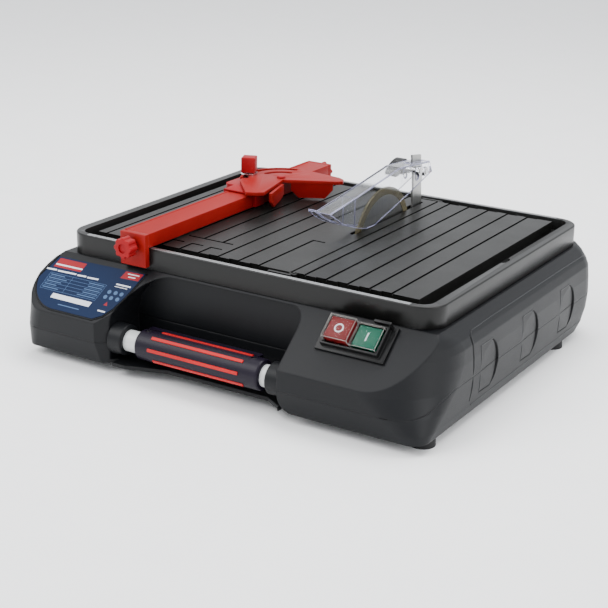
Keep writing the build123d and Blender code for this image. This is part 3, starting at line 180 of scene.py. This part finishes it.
BLACK = finish_material(
    "black_plastic", (0.0028, 0.0028, 0.003), 0.36, grain=0.2, specular=0.25,
    wear=0.3, wear_colour=(0.03, 0.03, 0.03),
)
RED_PAINT = finish_material(
    "red_paint", (0.225, 0.007, 0.006), 0.44, mottle=0.1, grain=0.14, specular=0.1,
    wear=0.4, wear_colour=(0.34, 0.03, 0.025),
)
RED_PLASTIC = finish_material(
    "red_plastic", (0.24, 0.005, 0.008), 0.42, mottle=0.1, grain=0.2, specular=0.12
)
STOP = finish_material(
    "stop_red", (0.13, 0.006, 0.007), 0.35, mottle=0.08, grain=0.1, specular=0.25
)
START = finish_material(
    "start_green", (0.003, 0.085, 0.05), 0.35, mottle=0.08, grain=0.1, specular=0.25
)

# clear mouldings, and the light that gathers in their edges
CLEAR = finish_material(
    "clear_plastic", (0.96, 0.97, 1.0), 0.03, transmission=1.0, ior=1.32,
    mottle=0.02, rough_vary=0.02, grain=0.02,
)
CAP_CLEAR = finish_material(
    "cap_clear", (0.95, 0.95, 0.94), 0.03, transmission=1.0, ior=1.05,
    mottle=0.02, rough_vary=0.01, grain=0.0,
)
GLINT = finish_material(
    "clear_edge", (0.55, 0.55, 0.78), 0.15, transmission=0.45, ior=1.3,
    mottle=0.25, mottle_scale=60, grain=0.02,
)
CAP_GLINT = finish_material(
    "cap_edge", (0.4, 0.38, 0.36), 0.15, transmission=0.4, ior=1.3,
    mottle=0.25, mottle_scale=90, grain=0.02,
)

# metals
ALU = finish_material(
    "rail_aluminium", (0.36, 0.365, 0.37), 0.3, metal=1.0, stretch=(1, 60, 60), grain=0.2
)
CAST = finish_material(
    "cast_bracket", (0.33, 0.34, 0.35), 0.5, metal=0.9, grain=0.3, grain_scale=700
)
STEEL = finish_material(
    "bare_steel", (0.32, 0.32, 0.31), 0.32, metal=1.0, stretch=(1, 30, 1), grain=0.12
)
ZINC = finish_material("zinc_steel", (0.5, 0.5, 0.51), 0.24, metal=1.0, mottle=0.1, grain=0.08)
BRASS = finish_material(
    "yellow_brass", (0.5, 0.38, 0.16), 0.25, metal=1.0, mottle=0.1, grain=0.08
)
BOND = finish_material(
    "blade_bond", (0.1, 0.085, 0.045), 0.6, metal=0.3, mottle=0.45, mottle_scale=500,
    grain=0.8, grain_scale=2500,
)

# print, seams and painted shade, raised beads painted lighter as a highlight, and rule marks
LABEL = finish_material(
    "label_film", (0.0012, 0.009, 0.036), 0.42, mottle=0.08, grain=0.05, specular=0.12
)
LABEL_WHITE = finish_material(
    "label_white", (0.6, 0.62, 0.66), 0.45, mottle=0.04, grain=0.03, specular=0.2
)
LABEL_RED = finish_material(
    "label_red", (0.24, 0.005, 0.01), 0.42, mottle=0.05, grain=0.03, specular=0.2
)
LABEL_PALE = finish_material(
    "label_pale", (0.05, 0.1, 0.2), 0.45, mottle=0.08, grain=0.03, specular=0.2
)
# near black: the dark joints of the parting lines, and painted shade in grooves and flutes
SEAM_AND_SHADE = finish_material(
    "seam_shadow", (0.0008, 0.0008, 0.0009), 0.55, mottle=0.2, grain=0.1, specular=0.08
)
# raised beads of the housing: real ridges, coloured lighter than the housing plastic as a
# painted highlight
RIDGE_HIGHLIGHT = finish_material(
    "moulded_ridge_highlight", (0.008, 0.0085, 0.01), 0.34, mottle=0.15, grain=0.2, specular=0.36
)
HATCH = finish_material(
    "rule_marks", (0.02, 0.02, 0.021), 0.4, mottle=0.2, grain=0.1, specular=0.3
)

SLOTS = {
    "housing_plastic": PLASTIC,
    "frame_metal": FRAME,
    "table_metal": TABLE,
    "rail_aluminium": ALU,
    "handle_paint": HANDLE,
    "grip_rubber": GRIP,
    "red_rubber": RED_RUBBER,
    "foot_rubber": RUBBER,
    "black_plastic": BLACK,
    "clear_plastic": CLEAR,
    "red_paint": RED_PAINT,
    "red_plastic": RED_PLASTIC,
    "stop_red": STOP,
    "start_green": START,
    "label_film": LABEL,
    "cast_bracket": CAST,
    "bare_steel": STEEL,
    "zinc_steel": ZINC,
    "yellow_brass": BRASS,
    "blade_bond": BOND,
}
# nodes that look unlike the rest of their slot
OWN_FINISH = {
    "guard_nuts": ZINC,
    "case_screws": BLACK,
    "off_button_cover": CAP_CLEAR,
    "on_button_cover": CAP_CLEAR,
}


# ---- the carried-over pieces ----
def shade(obj, angle=32.0):
    """Smooth shading with sharp edges kept where faces meet at more than angle degrees."""
    obj.data.shade_smooth()
    obj.data.set_sharp_from_angle(angle=math.radians(angle))


def dress(obj, material):
    """Give an object one material."""
    obj.data.materials.clear()
    obj.data.materials.append(material)


node_slot = {entry["node"]: entry["material_slot"] for entry in frame["record"]["subparts"]}
for name, obj in nodes.items():
    dress(obj, OWN_FINISH.get(name) or SLOTS[node_slot[name]])
    shade(obj)

WELD_GAP = 0.000002


def round_edges(name, width):
    """Break the edges of a carried-over piece with a small real radius."""
    obj = nodes[name]
    weld = obj.modifiers.new("weld", "WELD")
    weld.merge_threshold = WELD_GAP
    planar = obj.modifiers.new("planar", "DECIMATE")
    planar.decimate_type = "DISSOLVE"
    planar.angle_limit = math.radians(0.6)
    rounding = obj.modifiers.new("rounding", "BEVEL")
    rounding.width = width
    rounding.segments = 2
    rounding.limit_method = "ANGLE"
    rounding.angle_limit = math.radians(35.0)
    rounding.use_clamp_overlap = True
    rounding.harden_normals = True


ROUNDED = {
    "table_frame": 0.0009,
    "fence_beam": 0.0007,
    "fence_clamps": 0.0006,
    "mitre_slide": 0.0006,
    "mitre_protractor": 0.0006,
    "switch_bezel": 0.0004,
    "mitre_lock_knob": 0.0007,
    "off_button": 0.0004,
    "on_button": 0.0004,
}
for name, width in ROUNDED.items():
    round_edges(name, width)

# painted shade in the grooves: their floors and walls are painted darker than the plate around
# them
GROOVE_LEAST, GROOVE_MOST = 0.0008, 0.0016  # depths between which a groove's floor lies
ABOVE_PLATE = 0.0001  # a face reaching higher than this over the plate isn't in a groove
plate_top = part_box("table_plate")[1][2]
for name in ("table_plate", "bevel_panel"):
    mesh = nodes[name].data
    mesh.materials.append(SEAM_AND_SHADE)
    for face in mesh.polygons:
        depths = [plate_top - mesh.vertices[i].co.z for i in face.vertices]
        if GROOVE_LEAST < max(depths) < GROOVE_MOST and min(depths) > -ABOVE_PLATE:
            face.material_index = 1


# ---- helpers for the fine detail ----
def mm(*values):
    """A point given in millimetres."""
    return Vector(values) / 1000.0


def piece(name, points, faces, material, body="base", smooth=False):
    """A mesh object that rides on one body."""
    mesh = bpy.data.meshes.new(name)
    mesh.from_pydata([tuple(p) for p in points], [], faces)
    mesh.update()
    obj = bpy.data.objects.new(name, mesh)
    bpy.context.scene.collection.objects.link(obj)
    dress(obj, material)
    if smooth:
        mesh.shade_smooth()
    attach(obj, body)
    return obj


def skin_of(*names):
    """A tree for casting rays on to some of the carried-over pieces."""
    points, faces = [], []
    for name in names:
        mesh = nodes[name].data
        start = len(points)
        points += [v.co.copy() for v in mesh.vertices]
        faces += [[start + i for i in poly.vertices] for poly in mesh.polygons]
    return BVHTree.FromPolygons(points, faces)


def strip_mesh(path, normals, width, lift, closed=False):
    """A raised bead along a path: points and faces of a four-point section."""
    points, faces = [], []
    count = len(path)
    for i, spot in enumerate(path):
        before = path[(i - 1) % count] if closed or i > 0 else spot
        after = path[(i + 1) % count] if closed or i < count - 1 else spot
        side = normals[i].cross(after - before).normalized()
        for reach, height in ((-0.5, -0.1), (-0.28, 1.0), (0.28, 1.0), (0.5, -0.1)):
            points.append(spot + side * width * reach + normals[i] * lift * height)
    for i in range(count if closed else count - 1):
        a, b = 4 * i, 4 * ((i + 1) % count)
        for k in range(3):
            faces.append((a + k, b + k, b + k + 1, a + k + 1))
        faces.append((a + 3, b + 3, b, a))
    if not closed:
        faces.append((0, 1, 2, 3))
        last = 4 * (count - 1)
        faces.append((last + 3, last + 2, last + 1, last))
    return points, faces


def dense(corners, step=2.0):
    """Points every few millimetres along a line of corners."""
    found = []
    for a, b in zip(corners, corners[1:]):
        gap = math.dist(a, b)
        count = max(1, round(gap / step))
        found += [tuple(p + (q - p) * i / count for p, q in zip(a, b)) for i in range(count)]
    return found + [tuple(corners[-1])]


def arc3(a, b, c, count=16):
    """Points on the circle through three points in a plane, from a to c."""
    d = 2 * (a[0] * (b[1] - c[1]) + b[0] * (c[1] - a[1]) + c[0] * (a[1] - b[1]))
    sq = [p[0] ** 2 + p[1] ** 2 for p in (a, b, c)]
    ux = (sq[0] * (b[1] - c[1]) + sq[1] * (c[1] - a[1]) + sq[2] * (a[1] - b[1])) / d
    uy = (sq[0] * (c[0] - b[0]) + sq[1] * (a[0] - c[0]) + sq[2] * (b[0] - a[0])) / d
    angles = [math.atan2(p[1] - uy, p[0] - ux) for p in (a, b, c)]
    while angles[1] < angles[0]:
        angles[1] += 2 * math.pi
    while angles[2] < angles[0]:
        angles[2] += 2 * math.pi
    if angles[2] < angles[1]:
        angles[2] -= 2 * math.pi
    radius = math.hypot(a[0] - ux, a[1] - uy)
    turn = [angles[0] + (angles[2] - angles[0]) * i / count for i in range(count + 1)]
    return [(ux + radius * math.cos(t), uy + radius * math.sin(t)) for t in turn]


# ---- moulded lines, seams and strips of painted shade on the walls of the housing: widths in mm, lifts in metres ----
RAY_START = 0.3  # rays at the walls start this far from the middle
WALL_LEAST = 0.17  # a side wall stands further out than this
BOX_AIR = 0.00003  # the lines stay this far inside the box of the CAD model
wall_tree = skin_of("upper_housing", "lower_housing")
box_half = max(abs(start_bounds[0][0]), abs(start_bounds[1][0]))


def wall_line(name, corners, width, lift, material):
    """A bead, a seam or a strip of painted shade on both side walls, along (y, z) corners."""
    for side, label in ((1, "right"), (-1, "left")):
        path, normals = [], []
        for y, z in dense(corners):
            start = Vector((RAY_START * side, y / 1000, z / 1000))
            hit, normal, _, _ = wall_tree.ray_cast(start, Vector((-side, 0, 0)))
            if hit is None or abs(hit.x) < WALL_LEAST:
                continue
            if normal.x * side < 0:
                normal = -normal
            room = box_half - abs(hit.x)
            hit = hit + Vector((side * min(0.0, room - lift - BOX_AIR), 0, 0))
            path.append(hit)
            normals.append(normal)
        if len(path) > 2:
            points, faces = strip_mesh(path, normals, width / 1000, lift)
            piece(f"{name}_{label}", points, faces, material, smooth=True)


low_z, high_z = 23.5, 66.0
for number, start in enumerate((-86.0, 0.0, 86.0)):
    front, top = start - 0.3, high_z + 0.3
    flute_rim = [(front, low_z), (front, top), (start + 23, top)]
    wall_line(f"flute_rim_{number}", flute_rim, 0.9, 0.00025, RIDGE_HIGHLIGHT)
    bow = arc3((start + 22, low_z), (start + 34, 44), (start + 23, high_z))
    # a near-black strip just inside each arc: painted shade of the flute's deeper wall
    shadow = [(start + 1, low_z + 0.8)] + [(y - 1.1, z) for y, z in bow]
    wall_line(f"flute_shadow_{number}", shadow, 1.5, 0.0001, SEAM_AND_SHADE)
# the front groove is a near-black strip on the wall: painted shade where the groove is
wall_line(
    "front_groove", [(-101, 80), (-101.6, 62), (-101, 46), (-102, 34), (-103.5, 22)],
    1.7, 0.0001, SEAM_AND_SHADE,
)
wall_line(
    "front_groove_lip",
    [(-103, 22), (-100.3, 34), (-99.4, 46), (-99.9, 62), (-99.4, 79), (-96, 82)],
    0.8, 0.0002, RIDGE_HIGHLIGHT,
)
wall_line(
    "shoulder_line",
    [(-96, 82), (-60, 82.4), (0, 82.4), (100, 82.4), (152, 82), (164, 79), (172, 70)],
    1.0, 0.00022, RIDGE_HIGHLIGHT,
)
wall_line("parting_line", [(-98, 44), (0, 44), (170, 44)], 0.55, 0.00006, SEAM_AND_SHADE)
wall_line("sill_line", [(-100, 17.5), (0, 17.5), (150, 17.5)], 0.9, 0.00022, RIDGE_HIGHLIGHT)


def end_line(name, corners, rear, width, lift, material):
    """A bead or a seam on the front or rear wall, along (x, z) corners."""
    toward = -1 if rear else 1
    path, normals = [], []
    for x, z in dense(corners):
        start = Vector((x / 1000, -RAY_START * toward, z / 1000))
        hit, normal, _, _ = wall_tree.ray_cast(start, Vector((0, toward, 0)))
        if hit is None:
            continue
        if normal.y * toward > 0:
            normal = -normal
        limit = start_bounds[1][1] if rear else start_bounds[0][1]
        if abs(hit.y) + lift > abs(limit):
            hit = hit + Vector((0, toward * (lift + BOX_AIR), 0))
        path.append(hit)
        normals.append(normal)
    points, faces = strip_mesh(path, normals, width / 1000, lift)
    piece(name, points, faces, material, smooth=True)


end_line("parting_front_left", [(-196, 29), (-122, 29)], False, 0.5, 0.00005, SEAM_AND_SHADE)
end_line("parting_front_right", [(90, 29), (180, 29)], False, 0.5, 0.00005, SEAM_AND_SHADE)
end_line("parting_rear", [(-170, 44), (170, 44)], True, 0.55, 0.00006, SEAM_AND_SHADE)
end_line("shoulder_rear", [(-150, 78), (150, 78)], True, 1.0, 0.0002, RIDGE_HIGHLIGHT)
end_line("sill_rear", [(-150, 20), (130, 20)], True, 0.9, 0.0002, RIDGE_HIGHLIGHT)

# ---- things on the sloping front panels, in mm: x across, s up the slope, h out from it ----
SLOPE_FOOT = mm(0, -190.0, 47.5)
SLOPE_OUT = Vector((0, -0.6476, 0.7619))
SLOPE_UP = Vector((0, 0.7619, 0.6476))
PRINT = 0.03  # how far a printed shape stands up
BLOCK = 0.04  # the same for a printed block that carries more print


def on_slope(x, s, h=0.0):
    """A point on the sloping panel, or h millimetres out from it."""
    return SLOPE_FOOT + mm(x, 0, 0) + SLOPE_UP * (s / 1000) + SLOPE_OUT * (h / 1000)


def height_of(name):
    """How far a piece stands out from the sloping panel, in millimetres."""
    return max((v.co - SLOPE_FOOT).dot(SLOPE_OUT) for v in nodes[name].data.vertices) * 1000


def plates(name, outlines, h, thick, material, body="base"):
    """Thin printed or raised shapes on the slope, all in one mesh."""
    points, faces = [], []
    for outline in outlines:
        start, count = len(points), len(outline)
        points += [on_slope(x, s, h) for x, s in outline]
        points += [on_slope(x, s, h + thick) for x, s in outline]
        faces.append(tuple(start + i for i in reversed(range(count))))
        faces.append(tuple(start + count + i for i in range(count)))
        for i in range(count):
            j = (i + 1) % count
            faces.append((start + i, start + j, start + count + j, start + count + i))
    return piece(name, points, faces, material, body)


def disc(x, s, r, count=24):
    """The outline of a round spot."""
    turn = [2 * math.pi * i / count for i in range(count)]
    return [(x + r * math.cos(t), s + r * math.sin(t)) for t in turn]


def bar(x0, s0, x1, s1, width):
    """The outline of a thin bar between two points."""
    length = math.hypot(x1 - x0, s1 - s0)
    nx, ns = -(s1 - s0) / length * width / 2, (x1 - x0) / length * width / 2
    return [(x0 - nx, s0 - ns), (x1 - nx, s1 - ns), (x1 + nx, s1 + ns), (x0 + nx, s0 + ns)]


def ring_on_slope(name, x, s, inner, outer, h, thick, material, body="base", count=40):
    """A thin flat ring."""
    points, faces = [], []
    for i in range(count):
        t = 2 * math.pi * i / count
        for r, z in ((inner, 0), (inner, thick), (outer, thick), (outer, 0)):
            points.append(on_slope(x + r * math.cos(t), s + r * math.sin(t), h + z))
    for i in range(count):
        a, b = 4 * i, 4 * ((i + 1) % count)
        for k in range(4):
            faces.append((a + k, a + (k + 1) % 4, b + (k + 1) % 4, b + k))
    return piece(name, points, faces, material, body)


# ---- the label, with plain blocks, bars and spots where print would be ----
film = height_of("rating_label")
badge = [(-197.0, 57.0), (-165.0, 57.0), (-167.0, 47.2), (-199.6, 46.8)]
plates("label_badge", [badge], film, BLOCK, LABEL_RED)
badge_band = bar(-198.3, 50.0, -166.4, 50.2, 1.5)
plates("label_badge_band", [badge_band], film + BLOCK, PRINT, LABEL_WHITE)
tag = [(-119.3, 58.6), (-99.6, 59.0), (-101.6, 51.2), (-121.8, 50.6)]
plates("label_tag", [tag], film, BLOCK, LABEL_RED)
tag_bars = [bar(-116, 56.4, -103, 56.6, 1.0), bar(-114, 53.4, -106, 53.6, 1.0)]
plates("label_tag_bars", tag_bars, film + BLOCK, PRINT, LABEL_WHITE)
dashes = [(-205.6, -193.6), (-192, -170), (-168.4, -158), (-156.4, -143.5)]
title = [bar(a, 43.5, b, 43.9, 1.6) for a, b in dashes]
plates("label_title", title, film, PRINT, LABEL_WHITE)

rows = [
    (40.3, -198.8, -131.4),
    (36.8, -199.4, -132),
    (33.3, -199.8, -132.7),
    (29.8, -200.2, -133.4),
    (26.2, -200.6, -134.1),
    (22.4, -201, -134.8),
]
grid = [bar(left, s, right, s, 0.3) for s, left, right in rows]
columns = [(-198.8, -201), (-171, -173.6), (-131.4, -134.8)]
grid += [bar(top, 40.3, foot, 22.4, 0.3) for top, foot in columns]
marks = random.Random(11)
for s, left, right in rows[:-1]:
    line = s - 1.8
    grid.append(bar(left + 1.6, line, left + marks.uniform(14, 24), line, 0.9))
    grid.append(bar(right - marks.uniform(12, 26), line, right - 1.8, line, 0.9))
plates("label_table", grid, film, PRINT, LABEL_PALE)

serial = [(-182.9, 20.0), (-136.6, 19.9), (-137.4, 14.6), (-183.5, 15.0)]
plates("label_serial_strip", [serial], film, BLOCK, LABEL_WHITE)
plates("label_foot_line", [bar(-171, 9.9, -146, 9.8, 0.9)], film, PRINT, LABEL_PALE)
spots = [
    (-124.7, 34.3), (-117.6, 34.6), (-110.8, 34.6),
    (-126, 28.5), (-119.4, 28.6), (-112.2, 28.7),
]
plates("label_spots", [disc(x, s, 2.1) for x, s in spots], film, PRINT, LABEL_PALE)
bars_right = [
    bar(-122, 43.6, -105.5, 43.7, 1.5),
    bar(-122.5, 41, -108, 41.1, 0.7),
    bar(-126, 13.6, -117.5, 13.6, 1.4),
]
plates("label_bars_right", bars_right, film, PRINT, LABEL_WHITE)
triangle = [(-121.1, 24.0), (-118.9, 20.0), (-123.3, 20.0)]
plates("label_mark", [triangle], film, PRINT, LABEL_RED)

rim = [
    (-96.6, 61.0), (-99.2, 50.5), (-104.3, 33.3), (-110.3, 18.4),
    (-117.6, 8.5), (-127.0, 2.9), (-176.0, 2.9),
]
rim += arc3((-209.9, 33.2), (-201.7, 15.6), (-176.0, 2.9))[::-1][1:]
rim += [(-200.2, 59.5)]
rim_path = [on_slope(x, s, 0.1) for x, s in dense(rim, 3.0)]
points, faces = strip_mesh(rim_path, [SLOPE_OUT] * len(rim_path), 0.0014, 0.0006)
piece("label_rim", points, faces, PLASTIC, smooth=True)

# ---- switch symbols ----
SYMBOL = 0.12  # how far a symbol stands up, in mm
off_box, on_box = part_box("off_button"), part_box("on_button")
off_x = (off_box[0][0] + off_box[1][0]) * 500
on_x = (on_box[0][0] + on_box[1][0]) * 500
off_h, on_h = height_of("off_button"), height_of("on_button")
ring_on_slope("off_mark", off_x, 45.0, 3.0, 4.3, off_h, SYMBOL, LABEL_WHITE, "off_key")
plates("on_mark", [bar(on_x, 41.0, on_x, 49.0, 1.3)], on_h, SYMBOL, LABEL_WHITE, "on_key")

# ---- bright edges of the clear pieces ----
ROD_SIDES = 5
ROD_LEAST = 0.0004  # a shorter edge gets no rod
ROD_DEPTH = 0.0002  # how far inside the moulding a rod lies


def glints(name, body, radius, material, angle=40.0):
    """Thin rods of light along the sharp edges of a clear moulding."""
    work = bmesh.new()
    work.from_mesh(nodes[name].data)
    bmesh.ops.remove_doubles(work, verts=work.verts, dist=WELD_GAP)
    work.normal_update()
    points, faces = [], []
    for edge in work.edges:
        if len(edge.link_faces) != 2 or edge.calc_face_angle() < math.radians(angle):
            continue
        a, b = edge.verts[0].co, edge.verts[1].co
        if (b - a).length < ROD_LEAST:
            continue
        along = (b - a).normalized()
        outward = (edge.link_faces[0].normal + edge.link_faces[1].normal).normalized()
        inward = -outward * ROD_DEPTH
        u = along.orthogonal().normalized()
        v = along.cross(u)
        start = len(points)
        for end in (a, b):
            for k in range(ROD_SIDES):
                t = 2 * math.pi * k / ROD_SIDES
                points.append(end + inward + (u * math.cos(t) + v * math.sin(t)) * radius)
        far = start + ROD_SIDES
        for k in range(ROD_SIDES):
            j = (k + 1) % ROD_SIDES
            faces.append((start + k, start + j, far + j, far + k))
        faces.append(tuple(start + k for k in reversed(range(ROD_SIDES))))
        faces.append(tuple(far + k for k in range(ROD_SIDES)))
    work.free()
    piece(f"{name}_edges", points, faces, material, body, smooth=True)


glints("guard_shell", "guard", 0.00028, GLINT)
glints("off_button_cover", "off_key", 0.0002, CAP_GLINT)
glints("on_button_cover", "on_key", 0.0002, CAP_GLINT)

# ---- rule marks on the two rails, every fifth one longer ----
MARK_PITCH, MARK_WIDTH, MARK_SHORT, MARK_LONG = 0.002, 0.0002, 0.0014, 0.0021
MARK_RISE = 0.00002  # a mark stands this far above the rail, and reaches as far into it
RAIL_END = 0.004  # the bare stretch at each end of a rail
MARK_CORNERS = ((0, 0), (1, 0), (1, 1), (0, 1))
rail_low, rail_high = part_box("end_rails")
points, faces = [], []
for low_y in (rail_low[1] + 0.001, rail_high[1] - 0.0031):
    x = rail_low[0] + RAIL_END
    number = 0
    while x < rail_high[0] - RAIL_END:
        length = MARK_SHORT if number % 5 else MARK_LONG
        start = len(points)
        for rise in (-MARK_RISE, MARK_RISE):
            z = rail_high[2] + rise
            points += [(x + i * MARK_WIDTH, low_y + j * length, z) for i, j in MARK_CORNERS]
        faces.append((start + 4, start + 5, start + 6, start + 7))
        faces.append((start + 3, start + 2, start + 1, start))
        for i in range(4):
            j = (i + 1) % 4
            faces.append((start + i, start + j, start + 4 + j, start + 4 + i))
        x += MARK_PITCH
        number += 1
piece("rail_marks", points, faces, HATCH)

# ---- room for the picture ----
FLOOR_HALF = 6
corners = [(x * FLOOR_HALF, y * FLOOR_HALF, 0) for x, y in ((-1, -1), (1, -1), (1, 1), (-1, 1))]
floor = bpy.data.meshes.new("floor")
floor.from_pydata(corners, [], [(0, 1, 2, 3)])
floor_obj = bpy.data.objects.new("floor", floor)
bpy.context.scene.collection.objects.link(floor_obj)
pale = finish_material("floor_white", (0.92, 0.92, 0.92), 0.7, mottle=0.01, grain=0.0)
dress(floor_obj, pale)

world = bpy.data.worlds.new("studio")
bpy.context.scene.world = world
world.use_nodes = True
background = world.node_tree.nodes["Background"]
background.inputs["Color"].default_value = (0.95, 0.97, 1.0, 1.0)
background.inputs["Strength"].default_value = 1.5


def soft_light(name, place, aim, size, power):
    """A large rectangular lamp pointed at aim."""
    lamp = bpy.data.lights.new(name, "AREA")
    lamp.shape = "RECTANGLE"
    lamp.size, lamp.size_y = size
    lamp.energy = power
    obj = bpy.data.objects.new(name, lamp)
    bpy.context.scene.collection.objects.link(obj)
    obj.location = place
    direction = Vector(aim) - Vector(place)
    obj.rotation_euler = direction.to_track_quat("-Z", "Y").to_euler()


soft_light("key", (-0.9, -1.1, 1.5), (0, 0, 0.05), (1.2, 1.2), 30)
soft_light("top", (0.1, 0.5, 1.7), (0, 0, 0.1), (1.6, 1.0), 40)
soft_light("side", (1.7, -0.3, 0.7), (0.1, 0, 0.05), (0.8, 1.0), 14)

# ---- camera at the photograph's angle ----
CAMERA_AT = (0.6704, -1.1098, 0.4976)
LENS, SENSOR = 84.08, 36.0
azimuth, elevation, roll = math.radians(31.79), math.radians(19.631), math.radians(0.9455)
level = Vector((math.sin(azimuth), -math.cos(azimuth), 0.0))
back = level * math.cos(elevation) + Vector((0.0, 0.0, math.sin(elevation)))
right = Vector((math.cos(azimuth), math.sin(azimuth), 0.0))
up = back.cross(right)
turned_right = right * math.cos(roll) + up * math.sin(roll)
turned_up = up * math.cos(roll) - right * math.sin(roll)
camera_data = bpy.data.cameras.new("camera")
camera_data.lens = LENS
camera_data.sensor_width = SENSOR
camera_data.dof.use_dof = False
camera = bpy.data.objects.new("camera", camera_data)
bpy.context.scene.collection.objects.link(camera)
camera.matrix_world = Matrix([*zip(turned_right, turned_up, back, CAMERA_AT), (0, 0, 0, 1)])
bpy.context.scene.camera = camera
